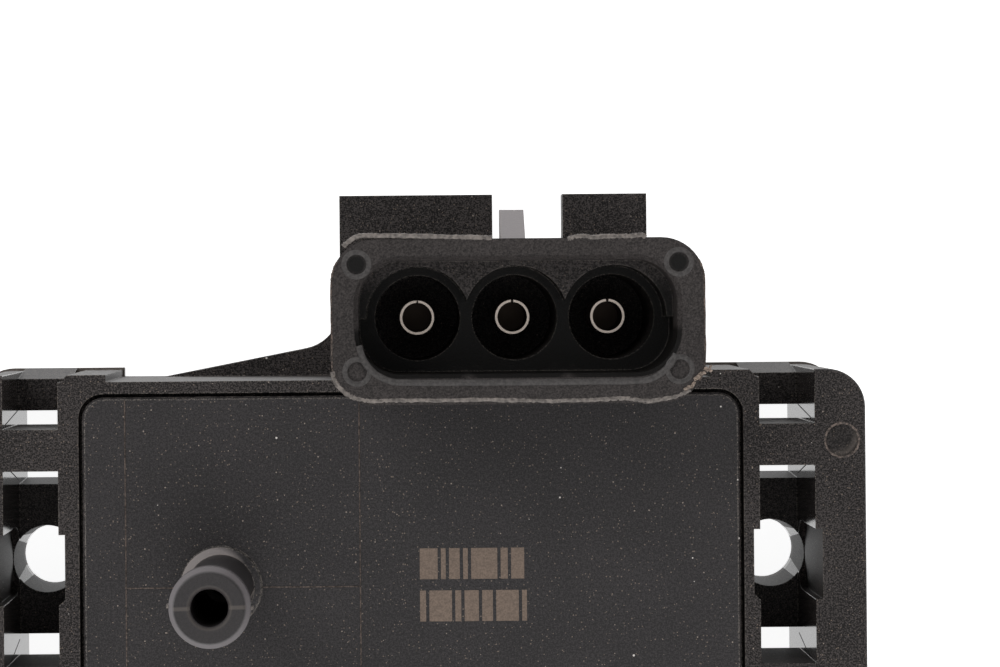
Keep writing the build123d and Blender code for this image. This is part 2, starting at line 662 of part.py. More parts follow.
def cell_leads():
    """Flat leads along both sides of the cell, bent down to the board."""
    leads = []
    height = BOARD_TOP + CELL_BASE / 2
    for side in (-1, 1):
        wall = NIPPLE_X + side * CELL_LENGTH / 2
        knee = wall + side * CELL_LEAD_REACH / 2
        tip = wall + side * CELL_LEAD_REACH
        for i in range(CELL_LEAD_COUNT):
            y = NIPPLE_Y + (i - (CELL_LEAD_COUNT - 1) / 2) * CELL_LEAD_PITCH
            y0 = y - CELL_LEAD_WIDTH / 2
            y1 = y + CELL_LEAD_WIDTH / 2
            inner = min(knee, knee + side * CELL_LEAD_THICKNESS)
            lead = block(min(wall, knee), max(wall, knee), y0, y1, height, height + CELL_LEAD_THICKNESS)
            lead += block(inner, inner + CELL_LEAD_THICKNESS, y0, y1,
                          BOARD_TOP, height + CELL_LEAD_THICKNESS)
            lead += block(min(knee, tip), max(knee, tip), y0, y1,
                          BOARD_TOP, BOARD_TOP + CELL_LEAD_THICKNESS)
            leads.append(lead)
    return Compound(children=leads)


def port_seal_ring():
    """The ring that seals the cell's port in the cover's seat."""
    middle = (SOCKET_RADIUS + PORT_RADIUS) / 2
    section = RegularPolygon(RING_SECTION_RADIUS - RING_FIT, RING_SECTION_SIDES)
    outline = Plane.XZ * Pos(middle, RING_HEIGHT) * section
    return Pos(NIPPLE_X, NIPPLE_Y, 0) * revolve(outline, Axis.Z)


# Small pieces on the board
def signal_chip():
    """The amplifier chip with its two rows of leads, one moulded package."""
    bottom = BOARD_TOP + CHIP_STANDOFF
    x = BOARD_X + CHIP_X
    y = BOARD_Y + CHIP_Y
    package = Pos(x, y, bottom + CHIP_HEIGHT / 2) * Box(CHIP_LENGTH, CHIP_WIDTH, CHIP_HEIGHT)
    package = chamfer(package.faces().sort_by(Axis.Z)[-1].edges(), CHIP_EDGE)
    knee = bottom + CHIP_HEIGHT / 2
    for side in (-1, 1):
        wall = y + side * CHIP_WIDTH / 2
        tip = wall + side * CHIP_LEAD_REACH
        inner = min(wall, wall + side * CHIP_LEAD_THICKNESS)
        for i in range(CHIP_LEADS):
            lead_x = x + (i - (CHIP_LEADS - 1) / 2) * CHIP_LEAD_PITCH
            x0 = lead_x - CHIP_LEAD_WIDTH / 2
            x1 = lead_x + CHIP_LEAD_WIDTH / 2
            package += block(x0, x1, inner, inner + CHIP_LEAD_THICKNESS, BOARD_TOP, knee)
            package += block(x0, x1, min(wall, tip), max(wall, tip),
                             BOARD_TOP, BOARD_TOP + CHIP_LEAD_THICKNESS)
    return package


def row_of_blocks(xs, y, length, width, height):
    """Like small blocks standing on the board, turned along X."""
    blocks = [Pos(x, y, BOARD_TOP + height / 2) * Box(length, width, height) for x in xs]
    return Compound(children=blocks)


def chip_capacitors():
    """Small capacitors along the board's lower edge."""
    first = BOARD_X - (CAPACITOR_COUNT - 1) / 2 * CAPACITOR_PITCH
    xs = [first + i * CAPACITOR_PITCH for i in range(CAPACITOR_COUNT)]
    return row_of_blocks(
        xs, BOARD_LOWER_EDGE + CAPACITOR_INSET, CAPACITOR_LENGTH, CAPACITOR_WIDTH, CAPACITOR_HEIGHT)


def filter_capacitors():
    """One capacitor below each terminal's foot, against electrical noise."""
    y = TAIL_END - FILTER_DROP
    return row_of_blocks(TERMINAL_XS, y, FILTER_LENGTH, FILTER_WIDTH, FILTER_HEIGHT)


def trim_resistors():
    """A column of printed resistors that were trimmed to set the output."""
    x = BOARD_X + RESISTOR_X
    first = BOARD_LOWER_EDGE + RESISTOR_WIDTH
    blocks = [
        Pos(x, first + i * RESISTOR_PITCH / 2, BOARD_TOP + RESISTOR_HEIGHT / 2)
        * Box(RESISTOR_LENGTH, RESISTOR_WIDTH / 2, RESISTOR_HEIGHT)
        for i in range(RESISTOR_COUNT)
    ]
    return Compound(children=blocks)


def main():
    """Build every piece and write it."""
    wires = bond_wires()
    pieces = {
        "housing": housing(),
        "cover": cover(),
        "cover_seal": seal_ring(LEDGE_TOP - SEAL_DEPTH, LEDGE_TOP),
        "circuit_board": circuit_board(),
        "board_adhesive": board_adhesive(),
        "cell_body": cell_body(),
        "cell_cap": cell_cap(),
        "glass_pedestal": square_block(PEDESTAL_SIZE, CELL_WELL_FLOOR, PEDESTAL_TOP),
        "silicon_die": square_block(DIE_SIZE, PEDESTAL_TOP, DIE_TOP),
        "bond_wires": wires,
        "gel_fill": gel_fill(wires),
        "cell_leads": cell_leads(),
        "port_seal_ring": port_seal_ring(),
        "signal_chip": signal_chip(),
        "chip_capacitors": chip_capacitors(),
        "filter_capacitors": filter_capacitors(),
        "trim_resistors": trim_resistors(),
        "solder_joints": solder_joints(),
    }
    for number, x in enumerate(TERMINAL_XS, start=1):
        pieces[f"terminal_{number}"] = terminal(x)
    os.makedirs("parts", exist_ok=True)
    for name, shape in pieces.items():
        export_step(shape, f"parts/{name}.step")


main()
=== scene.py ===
import json
import logging
import math
from dataclasses import dataclass
from enum import Enum
from typing import Callable, Iterable, Sequence

import bpy
import bmesh
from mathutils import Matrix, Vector


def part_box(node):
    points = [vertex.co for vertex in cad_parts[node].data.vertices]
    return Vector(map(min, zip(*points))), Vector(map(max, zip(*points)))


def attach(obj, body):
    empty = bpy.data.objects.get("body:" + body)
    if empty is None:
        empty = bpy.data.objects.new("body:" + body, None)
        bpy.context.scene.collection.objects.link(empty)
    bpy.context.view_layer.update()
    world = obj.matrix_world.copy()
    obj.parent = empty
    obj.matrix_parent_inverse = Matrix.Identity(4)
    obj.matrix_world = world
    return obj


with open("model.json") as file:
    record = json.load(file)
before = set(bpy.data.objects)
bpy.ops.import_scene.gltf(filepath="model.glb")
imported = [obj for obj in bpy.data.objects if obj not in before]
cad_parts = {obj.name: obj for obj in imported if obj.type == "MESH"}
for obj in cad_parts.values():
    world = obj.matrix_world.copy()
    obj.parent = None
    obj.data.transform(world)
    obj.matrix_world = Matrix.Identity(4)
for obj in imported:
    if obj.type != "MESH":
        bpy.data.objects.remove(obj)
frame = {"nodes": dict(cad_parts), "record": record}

LOG = logging.getLogger("pressure_sensor")
MM = 0.001
BODY = "root"
FACE_HEIGHT = 20.0 * MM

# How patterns are made
MOTTLE_SHARE = 0.12
MOTTLE_SCALE = 140.0
FINE_DETAIL = 2.0
COARSE_DETAIL = 3.0
MOTTLE_DETAIL = 4.0
SMALLEST_SPECK = 0.35
EDGE_SAMPLES = 6
EDGE_START = 0.998
EDGE_FULL = 0.94
SIDEWAYS = 0.7
LINE_CORE = 0.5
PIT_SHALLOW = 0.25
PIT_DEEP = 0.75
ROUGH_LEAST = 0.9
ROUGH_MOST = 1.1

# How finely round pieces are divided
BAND_CORNER_STEPS = 8
BAND_CUTS = 10
BEAD_STEPS = 8
BEAD_ROUNDING = 2
RING_STEPS = 40
RING_SIDES = 8
LINE_CUTS = 40
Colour = tuple[float, float, float]


def srgb(red: int, green: int, blue: int) -> Colour:
    """Turn a display colour of 0 to 255 into the linear values that a shader takes.

    Args:
        red: Display red.
        green: Display green.
        blue: Display blue.

    Returns:
        The linear colour.
    """
    def linear(value: int) -> float:
        """One channel in linear light."""
        share = value / 255
        return share / 12.92 if share <= 0.04045 else ((share + 0.055) / 1.055) ** 2.4
    return linear(red), linear(green), linear(blue)


class Slot(Enum):
    """The record's material slots that the scene dresses."""

    HOUSING = "housing_plastic"
    COVER = "cover_plastic"
    TERMINAL = "terminal_metal"
    BOARD = "board_ceramic"
    SEALANT = "sealant"
    CELL = "cell_plastic"
    DIE_GLASS = "die_glass"
    SILICON = "silicon"
    GEL = "gel"
    LEAD = "lead_metal"
    WIRE = "wire_metal"
    RING = "ring_rubber"
    CHIP = "chip_plastic"
    CAPACITOR = "capacitor_ceramic"
    RESISTOR = "resistor_paste"
    SOLDER = "solder"


# Shader building
class Tree:
    """A thin hand on a node tree, so that each shader reads as a list of steps."""

    def __init__(self, tree: bpy.types.NodeTree) -> None:
        """Keep the tree and clear it."""
        self.tree = tree
        self.tree.nodes.clear()

    def add(self, kind: str, **settings: object) -> bpy.types.Node:
        """Add a node.

        Args:
            kind: The node's type, without its ShaderNode prefix where it has one.
            settings: Attributes to set on it.

        Returns:
            The new node.
        """
        name = kind if kind.startswith("NodeGroup") else f"ShaderNode{kind}"
        node = self.tree.nodes.new(name)
        for key, value in settings.items():
            setattr(node, key, value)
        return node

    def link(self, source: bpy.types.NodeSocket, target: bpy.types.NodeSocket) -> None:
        """Join an output to an input."""
        self.tree.links.new(source, target)

    def place(self) -> bpy.types.NodeSocket:
        """The place on the piece, which the patterns follow."""
        return self.add("TexCoord").outputs["Object"]

    def facing(self) -> bpy.types.NodeSocket:
        """The way that the surface faces."""
        return self.add("TexCoord").outputs["Normal"]

    def split(self, vector: bpy.types.NodeSocket) -> bpy.types.bpy_prop_collection:
        """Take a vector apart.

        Args:
            vector: The vector's socket.

        Returns:
            Its X, Y and Z, by name.
        """
        node = self.add("SeparateXYZ")
        self.link(vector, node.inputs[0])
        return node.outputs

    def math(self, operation: str, *values: object, clamp: bool = False) -> bpy.types.NodeSocket:
        """Add a Math node.

        Args:
            operation: The node's operation.
            values: Numbers or sockets for its inputs.
            clamp: Whether the result is kept between 0 and 1.

        Returns:
            The result's socket.
        """
        node = self.add("Math", operation=operation, use_clamp=clamp)
        for position, value in enumerate(values):
            self.feed(value, node.inputs[position])
        return node.outputs[0]

    def feed(self, value: object, target: bpy.types.NodeSocket) -> None:
        """Put something into an input.

        Args:
            value: A number, a colour or another node's output.
            target: The input.
        """
        if isinstance(value, bpy.types.NodeSocket):
            self.link(value, target)
        else:
            target.default_value = value

    def span(self, value: object, low: float, high: float, to_low: float = 0.0,
             to_high: float = 1.0) -> bpy.types.NodeSocket:
        """Map a stretch of one value onto another stretch, with soft ends.

        Args:
            value: Number or socket to map.
            low: Start of the stretch.
            high: End of the stretch.
            to_low: What the start becomes.
            to_high: What the end becomes.

        Returns:
            The mapped socket.
        """
        node = self.add("MapRange", interpolation_type="SMOOTHSTEP")
        self.feed(value, node.inputs["Value"])
        ends = {"From Min": low, "From Max": high, "To Min": to_low, "To Max": to_high}
        for name, number in ends.items():
            node.inputs[name].default_value = number
        return node.outputs["Result"]

    def mix(self, factor: object, first: object, second: object) -> bpy.types.NodeSocket:
        """Mix two colours.

        Args:
            factor: Share of the second colour.
            first: Colour or socket.
            second: Colour or socket.

        Returns:
            The mixed colour's socket.
        """
        node = self.add("Mix", data_type="RGBA")
        self.feed(factor, node.inputs["Factor"])
        for name, value in (("A", first), ("B", second)):
            opaque = (*value, 1.0) if isinstance(value, tuple) else value
            self.feed(opaque, self.colour_socket(node.inputs, name))
        return self.colour_socket(node.outputs, "Result")

    def blend(self, mask: object, first: object, second: object) -> bpy.types.NodeSocket:
        """Mix two numbers.

        Args:
            mask: Share of the second number.
            first: Number or socket.
            second: Number or socket.

        Returns:
            The mixed number's socket.
        """
        rest = self.math("MULTIPLY", first, self.math("SUBTRACT", 1.0, mask))
        return self.math("ADD", rest, self.math("MULTIPLY", second, mask))

    @staticmethod
    def colour_socket(sockets: Iterable[bpy.types.NodeSocket], name: str) -> bpy.types.NodeSocket:
        """The colour socket of a Mix node among those that share its name."""
        return next(socket for socket in sockets if socket.name == name and socket.type == "RGBA")


class Groups:
    """The shader node groups that the finishes share, each built once."""

    def __init__(self) -> None:
        """Build every group."""
        self.grain = self.build_grain()
        self.specks = self.build_specks()
        self.edges = self.build_edges()
        self.walls = self.build_walls()
        self.rounds = self.build_rounds()
        self.windows = self.build_windows()
        self.fronts = self.build_fronts()
        self.seams = self.build_seams()

    @staticmethod
    def new(name: str, inputs: dict[str, float],
            outputs: dict[str, str]) -> tuple[Tree, Callable, Callable]:
        """Start a group.

        Args:
            name: The group's name.
            inputs: Names and first values of its number inputs.
            outputs: Names and socket types of its outputs.

        Returns:
            The tree, a function from input name to socket and one from output name to socket.
        """
        group = bpy.data.node_groups.new(name, "ShaderNodeTree")
        for label, value in inputs.items():
            socket = group.interface.new_socket(
                label, in_out="INPUT", socket_type="NodeSocketFloat")
            socket.default_value = value
        for label, kind in outputs.items():
            group.interface.new_socket(label, in_out="OUTPUT", socket_type=kind)
        tree = Tree(group)
        entry = tree.add("NodeGroupInput")
        leave = tree.add("NodeGroupOutput")
        return tree, lambda label: entry.outputs[label], lambda label: leave.inputs[label]

    def build_grain(self) -> bpy.types.NodeTree:
        """The skin that spark erosion leaves in a mould: fine pits over a coarser unevenness.

        Returns:
            The group, with the height of the skin and a slow mottle.
        """
        tree, give, take = self.new(
            "spark_grain", {"Fine Scale": 9000.0, "Coarse Scale": 2600.0, "Coarse Share": 0.4},
            {"Height": "NodeSocketFloat", "Mottle": "NodeSocketFloat"})
        place = tree.place()
        layers = []
        for scale, detail in ((give("Fine Scale"), FINE_DETAIL),
                              (give("Coarse Scale"), COARSE_DETAIL),
                              (MOTTLE_SCALE, MOTTLE_DETAIL)):
            noise = tree.add("TexNoise", noise_dimensions="3D")
            tree.link(place, noise.inputs["Vector"])
            tree.feed(scale, noise.inputs["Scale"])
            noise.inputs["Detail"].default_value = detail
            layers.append(noise.outputs["Fac"])
        fine, coarse, slow = layers
        tree.link(tree.blend(give("Coarse Share"), fine, coarse), take("Height"))
        tree.link(slow, take("Mottle"))
        return tree.tree

    def build_specks(self) -> bpy.types.NodeTree:
        """Loose dust and bright fibres in the skin: a few cells hold a small round dot.

        Returns:
            The group, with a mask that is 1 on a speck.
        """
        tree, give, take = self.new(
            "dust_specks", {"Scale": 700.0, "Share": 0.4, "Radius": 0.06},
            {"Mask": "NodeSocketFloat"})
        cells = tree.add("TexVoronoi", voronoi_dimensions="3D")
        tree.link(tree.place(), cells.inputs["Vector"])
        tree.feed(give("Scale"), cells.inputs["Scale"])
        dice = tree.add("SeparateColor")
        tree.link(cells.outputs["Color"], dice.inputs[0])
        chosen = tree.math("LESS_THAN", dice.outputs[0], give("Share"))
        size = tree.span(dice.outputs[1], 0.0, 1.0, SMALLEST_SPECK, 1.0)
        radius = tree.math("MULTIPLY", give("Radius"), size)
        inside = tree.math("LESS_THAN", cells.outputs["Distance"], radius)
        tree.link(tree.math("MULTIPLY", chosen, inside), take("Mask"))
        return tree.tree

    def build_edges(self) -> bpy.types.NodeTree:
        """The small rounding that every moulded edge has.

        Returns:
            The group, with the rounded normal and a mask that grows on the edge.
        """
        tree, give, take = self.new(
            "soft_edges", {"Radius": 0.00012},
            {"Normal": "NodeSocketVector", "Mask": "NodeSocketFloat"})
        bevel = tree.add("Bevel", samples=EDGE_SAMPLES)
        tree.feed(give("Radius"), bevel.inputs["Radius"])
        flat = tree.add("NewGeometry").outputs["Normal"]
        compare = tree.add("VectorMath", operation="DOT_PRODUCT")
        tree.link(bevel.outputs["Normal"], compare.inputs[0])
        tree.link(flat, compare.inputs[1])
        tree.link(bevel.outputs["Normal"], take("Normal"))
        tree.link(tree.span(compare.outputs["Value"], EDGE_START, EDGE_FULL), take("Mask"))
        return tree.tree

    def build_walls(self) -> bpy.types.NodeTree:
        """The faces that the mould slid along, which come out smoother than the front.

        Returns:
            The group, with a mask that is 1 on faces along Z.
        """
        tree, give, take = self.new("slid_walls", {"Reach": 0.3}, {"Mask": "NodeSocketFloat"})
        upright = tree.math("ABSOLUTE", tree.split(tree.facing())["Z"])
        excess = tree.math("SUBTRACT", give("Reach"), upright)
        tree.link(tree.math("DIVIDE", excess, give("Reach"), clamp=True), take("Mask"))
        return tree.tree

    def build_rounds(self) -> bpy.types.NodeTree:
        """A ring about an upright axis, between two radii and two heights.

        Returns:
            The group, with a mask that is 1 inside the ring.
        """
        tree, give, take = self.new(
            "round_spot", {"X": 0.0, "Y": 0.0, "Inner": 0.0, "Outer": 0.001, "Low": 0.0,
                           "High": 1.0, "South": -1.0, "North": 1.0, "Soft": 0.00005},
            {"Mask": "NodeSocketFloat"})
        parts = tree.split(tree.place())
        across = tree.math("POWER", tree.math("SUBTRACT", parts["X"], give("X")), 2.0)
        up = tree.math("POWER", tree.math("SUBTRACT", parts["Y"], give("Y")), 2.0)
        radius = tree.math("SQRT", tree.math("ADD", across, up))
        mask = tree.math("MULTIPLY", tree.math("GREATER_THAN", parts["Z"], give("Low")),
                         tree.math("LESS_THAN", parts["Z"], give("High")))
        for more, less in ((radius, give("Inner")), (give("Outer"), radius),
                           (parts["Y"], give("South")), (give("North"), parts["Y"])):
            depth = tree.math("SUBTRACT", more, less)
            inside = tree.math("DIVIDE", depth, give("Soft"), clamp=True)
            mask = tree.math("MULTIPLY", mask, inside)
        tree.link(mask, take("Mask"))
        return tree.tree

    def build_fronts(self) -> bpy.types.NodeTree:
        """The housing's and the cover's front, below the nipple and the socket.

        Returns:
            The group, with a mask that is 1 below a height and 0 a little above it.
        """
        tree, give, take = self.new(
            "eroded_fronts", {"Top": 0.02, "Soft": 0.001}, {"Mask": "NodeSocketFloat"})
        above = tree.math("SUBTRACT", tree.split(tree.place())["Z"], give("Top"))
        faded = tree.math("DIVIDE", above, give("Soft"), clamp=True)
        tree.link(tree.math("SUBTRACT", 1.0, faded, clamp=True), take("Mask"))
        return tree.tree

    def build_windows(self) -> bpy.types.NodeTree:
        """The ears' windows, where polished steel shut off against steel.

        Returns:
            The group, with a mask that is 1 on faces across X between two distances from the
            middle.
        """
        tree, give, take = self.new(
            "shut_off_windows", {"Near": 0.0, "Far": 1.0}, {"Mask": "NodeSocketFloat"})
        across = tree.math("ABSOLUTE", tree.split(tree.place())["X"])
        turned = tree.math("ABSOLUTE", tree.split(tree.facing())["X"])
        sideways = tree.math("GREATER_THAN", turned, SIDEWAYS)
        within = tree.math("MULTIPLY", tree.math("GREATER_THAN", across, give("Near")),
                           tree.math("LESS_THAN", across, give("Far")))
        tree.link(tree.math("MULTIPLY", sideways, within), take("Mask"))
        return tree.tree

    def build_seams(self) -> bpy.types.NodeTree:
        """A straight parting line across a face, nearly along X.

        Returns:
            The group, with a mask that is 1 on the line.
        """
        tree, give, take = self.new(
            "parting_line", {"X": 0.0, "Y": 0.0, "Slope": 0.0, "Half": 0.0001, "Low": 0.0},
            {"Mask": "NodeSocketFloat"})
        parts = tree.split(tree.place())
        along = tree.math("SUBTRACT", parts["X"], give("X"))
        level = tree.math("ADD", give("Y"), tree.math("MULTIPLY", along, give("Slope")))
        away = tree.math("ABSOLUTE", tree.math("SUBTRACT", parts["Y"], level))
        near = tree.math("DIVIDE", tree.math("SUBTRACT", give("Half"), away),
                         tree.math("MULTIPLY", give("Half"), LINE_CORE), clamp=True)
        above = tree.math("GREATER_THAN", parts["Z"], give("Low"))
        tree.link(tree.math("MULTIPLY", near, above), take("Mask"))
        return tree.tree


@dataclass(frozen=True)
class Spot:
    """A round place or ring on a finish whose colour is painted light or painted shade.

    It lies about an upright axis, between two heights, and can end at a line along X.
    """

    x: float
    y: float
    outer: float
    colour: Colour
    inner: float = -MM
    low: float = 0.0
    high: float = 1.0
    south: float = -1.0
    north: float = 1.0
    soft: float = 0.06 * MM
    share: float = 1.0


@dataclass(frozen=True)
class Fleck:
    """One kind of small bright dot in a finish: how fine, how many, how large and its colour."""

    scale: float
    share: float
    radius: float
    colour: Colour


@dataclass(frozen=True)
class PartingLine:
    """A thin line across a face of a finish."""

    x: float
    y: float
    slope: float
    half: float
    low: float
    colour: Colour
    share: float


@dataclass(frozen=True)
class Windows:
    """Where the ears' walls come out smooth, by distance from the middle."""

    near: float
    far: float
    roughness: float


@dataclass(frozen=True)
class Finish:
    """One finish: a base colour with its skin, dust, edges and round places of painted light and
    shade.

    The plain values go on the shader's own sockets, and what changes over the surface is linked.
    Grain, dust and the painted edge highlight fade out above front_top, down to the share that
    still gives.
    """

    name: str
    colour: Colour
    roughness: float = 0.5
    metallic: float = 0.0
    transmission: float = 0.0
    ior: float = 1.5
    specular: float = 0.5
    mottle: float = 0.1
    pit_low: float = 0.36
    pit_high: float = 0.64
    fine_scale: float = 9000.0
    coarse_scale: float = 2600.0
    coarse_share: float = 0.4
    grain_depth: float = 0.00002
    grain_strength: float = 0.5
    flecks: tuple[Fleck, ...] = ()
    edge_radius: float = 0.0
    edge_light: float = 0.0
    wall_roughness: float = 0.0
    wall_calm: float = 0.8
    painted_shading: tuple[Spot, ...] = ()
    line: PartingLine | None = None
    windows: Windows | None = None
    front_top: float = 0.0
    front_soft: float = 0.001
    still: float = 0.3

    def build(self, groups: Groups) -> bpy.types.Material:
        """Make the material.

        Args:
            groups: The shared node groups.

        Returns:
            The material, ready for a material slot.
        """
        material = bpy.data.materials.new(self.name)
        material.use_nodes = True
        tree = Tree(material.node_tree)
        shader = tree.add("BsdfPrincipled")
        out = tree.add("OutputMaterial")
        tree.link(shader.outputs[0], out.inputs["Surface"])
        for label, value in (("Metallic", self.metallic), ("IOR", self.ior),
                             ("Transmission Weight", self.transmission),
                             ("Specular IOR Level", self.specular)):
            shader.inputs[label].default_value = value
        grain = self.place(tree, groups.grain, {
            "Fine Scale": self.fine_scale, "Coarse Scale": self.coarse_scale,
            "Coarse Share": self.coarse_share})
        height = grain.outputs["Height"]
        pits = tree.blend(MOTTLE_SHARE, height, grain.outputs["Mottle"])
        front = 1.0
        if self.front_top > 0:
            front = self.place(tree, groups.fronts, {
                "Top": self.front_top, "Soft": self.front_soft}).outputs["Mask"]
            level = (self.pit_low + self.pit_high) / 2
            pits = tree.blend(tree.blend(front, self.still, 1.0), level, pits)
        colour = self.build_colour(tree, groups, pits, front)
        rough = tree.span(pits, PIT_SHALLOW, PIT_DEEP, self.roughness * ROUGH_LEAST,
                          min(1.0, self.roughness * ROUGH_MOST))
        if self.wall_roughness > 0:
            height, rough = self.smooth_walls(tree, groups, height, rough)
        bump = tree.add("Bump")
        bump.inputs["Strength"].default_value = self.grain_strength
        bump.inputs["Distance"].default_value = self.grain_depth
        tree.link(height, bump.inputs["Height"])
        if self.edge_radius > 0:
            edges = self.place(tree, groups.edges, {"Radius": self.edge_radius})
            tree.link(edges.outputs["Normal"], bump.inputs["Normal"])
            # Painted highlight: the rounded edges turn lighter, in patches that follow the skin's
            # pits.
            patchy = tree.span(pits, self.pit_low, self.pit_high, 0.0, self.edge_light)
            edge_highlight = tree.math("MULTIPLY", edges.outputs["Mask"], patchy)
            colour = tree.mix(tree.math("MULTIPLY", edge_highlight, front), colour, EDGE_HIGHLIGHT_PLASTIC)
        tree.link(bump.outputs["Normal"], shader.inputs["Normal"])
        tree.link(colour, shader.inputs["Base Color"])
        tree.link(rough, shader.inputs["Roughness"])
        return material

    def build_colour(self, tree: Tree, groups: Groups, pits: bpy.types.NodeSocket,
                     front: object) -> bpy.types.NodeSocket:
        """Lay the flecks, the painted light and shade and the parting line over the pitted base
        colour.

        Args:
            tree: The material's tree.
            groups: The shared node groups.
            pits: How deep the skin lies.
            front: Share of the flecks that shows.

        Returns:
            The colour's socket.
        """
        dark = tuple(c * (1 - self.mottle) for c in self.colour)
        light = tuple(c * (1 + self.mottle) for c in self.colour)
        colour = tree.mix(tree.span(pits, self.pit_low, self.pit_high), dark, light)
        for fleck in self.flecks:
            dots = self.place(tree, groups.specks, {
                "Scale": fleck.scale, "Share": fleck.share, "Radius": fleck.radius})
            mask = tree.math("MULTIPLY", dots.outputs["Mask"], front)
            colour = tree.mix(mask, colour, fleck.colour)
        # Painted light and shade, one round place after another.
        for spot in self.painted_shading:
            ring = self.place(tree, groups.rounds, {
                "X": spot.x, "Y": spot.y, "Inner": spot.inner, "Outer": spot.outer,
                "Low": spot.low, "High": spot.high, "South": spot.south, "North": spot.north,
                "Soft": spot.soft})
            mask = tree.math("MULTIPLY", ring.outputs["Mask"], spot.share)
            colour = tree.mix(mask, colour, spot.colour)
        if self.line is not None:
            seam = self.place(tree, groups.seams, {
                "X": self.line.x, "Y": self.line.y, "Slope": self.line.slope,
                "Half": self.line.half, "Low": self.line.low})
            mask = tree.math("MULTIPLY", seam.outputs["Mask"], self.line.share)
            colour = tree.mix(mask, colour, self.line.colour)
        return colour

    def smooth_walls(
            self, tree: Tree, groups: Groups, height: bpy.types.NodeSocket,
            rough: bpy.types.NodeSocket) -> tuple[bpy.types.NodeSocket, bpy.types.NodeSocket]:
        """Calm the walls that the mould slid along, and polish those in the ears' windows.

        Args:
            tree: The material's tree.
            groups: The shared node groups.
            height: The skin's height.
            rough: Its roughness.

        Returns:
            The new height and roughness.
        """
        walls = self.place(tree, groups.walls, {}).outputs["Mask"]
        calm = tree.math("MULTIPLY", height, 1 - self.wall_calm)
        slid = self.wall_roughness
        if self.windows is not None:
            smooth = self.place(tree, groups.windows, {
                "Near": self.windows.near, "Far": self.windows.far}).outputs["Mask"]
            calm = tree.blend(smooth, calm, 0.0)
            slid = tree.blend(smooth, slid, self.windows.roughness)
        return tree.blend(walls, height, calm), tree.blend(walls, rough, slid)

    @staticmethod
    def place(tree: Tree, group: bpy.types.NodeTree, values: dict[str, float]) -> bpy.types.Node:
        """Put a group in a material with its own values.

        Args:
            tree: The material's tree.
            group: The group.
            values: Numbers for its inputs.

        Returns:
            The group's node.
        """
        node = tree.add("Group", node_tree=group)
        for label, value in values.items():
            node.inputs[label].default_value = value
        return node


# Places on the solids
NIPPLE_AXIS = (-15.85 * MM, -1.5 * MM)
NIPPLE_GLINT = (-16.55 * MM, -0.8 * MM)
NIPPLE_ROOT = (20.65 * MM, 21.1 * MM)
NIPPLE_BARB = 37.5 * MM
NIPPLE_BRINK = 39.2 * MM
NIPPLE_END = 39.3 * MM
TERMINAL_AXES = tuple((x * MM, 21.0 * MM) for x in (0.8, 8.8, 16.8))
RIM_MARK_AXES = tuple((x * MM, y * MM) for x in (-4.13, 21.73) for y in (16.8, 25.4))
RIM_FACE = 33.5 * MM
BELOW_RIM = 33.3 * MM
MOUTH_BRINK = 33.42 * MM
MOUTH_MIDDLE = 21.0 * MM
MOUTH_SHADE_EDGE = 20.4 * MM
MOUTH_ENDS = ((-2.8 * MM, 21.6 * MM), (20.4 * MM, 21.6 * MM))
MOUTH_FLOOR = 29.1 * MM
UPPER_BORE_TOP = 28.9 * MM
UPPER_BORE_BOTTOM = 24.0 * MM
EAR_MARK_AXIS = (36.45 * MM, 10.4 * MM)
EAR_MARK_GLINT = (36.0 * MM, 10.9 * MM)
EAR_MARK_DEPTH = (19.5 * MM, 19.9 * MM)
REAR_LIP = (0.98 * MM, 1.02 * MM)
LATCH_RAMP = (8.8 * MM, 28.8 * MM)
LATCH_RAMP_HEIGHTS = (19.3 * MM, 25.0 * MM)
LATCH_RAMP_FOOT = 27.42 * MM

# Colours that paint light and shade: painted shade, painted highlight, and the painted highlight on
# rounded edges.
SHADE = srgb(16, 15, 14)
LIT_PLASTIC = srgb(112, 104, 98)
EDGE_HIGHLIGHT_PLASTIC = srgb(150, 142, 134)

# Painted shade inside the ejector pin's mark, and a painted highlight on its lit rim.
EAR_MARK_SHADE_AND_GLINT = (
    Spot(*EAR_MARK_AXIS, outer=1.4 * MM, colour=srgb(34, 31, 30), low=EAR_MARK_DEPTH[0],
         soft=0.5 * MM, share=0.45),
    Spot(*EAR_MARK_GLINT, outer=2.2 * MM, inner=1.25 * MM, colour=LIT_PLASTIC,
         low=EAR_MARK_DEPTH[0], high=EAR_MARK_DEPTH[1], soft=0.5 * MM, share=0.5),
)
# Painted highlight on the front of the rear flange's lip.
REAR_LIP_HIGHLIGHT = Spot(0.0, 0.0, outer=60.0 * MM, colour=LIT_PLASTIC, low=REAR_LIP[0],
                     high=REAR_LIP[1], share=0.8)
# Painted shade in the dimples of the two upper rim marks.
RIM_MARK_SHADE = tuple(
    Spot(x, y, outer=0.9 * MM, colour=SHADE, low=BELOW_RIM, soft=0.35 * MM)
    for x, y in RIM_MARK_AXES if y > MOUTH_MIDDLE)
# Painted shade deep in the socket's mouth: its lower half, the upper bores and the two ends.
MOUTH_PAINTED_SHADE = (
    *(Spot(x, y, outer=6.2 * MM, colour=SHADE, low=UPPER_BORE_BOTTOM, high=MOUTH_BRINK,
           north=MOUTH_SHADE_EDGE, soft=0.5 * MM, share=0.92) for x, y in TERMINAL_AXES),
    *(Spot(x, y, outer=5.0 * MM, colour=SHADE, low=UPPER_BORE_BOTTOM, high=UPPER_BORE_TOP,
           share=0.9) for x, y in TERMINAL_AXES),
    *(Spot(x, y, outer=2.8 * MM, colour=SHADE, low=UPPER_BORE_BOTTOM, high=MOUTH_FLOOR,
           soft=1.4 * MM, share=0.9) for x, y in MOUTH_ENDS),
)
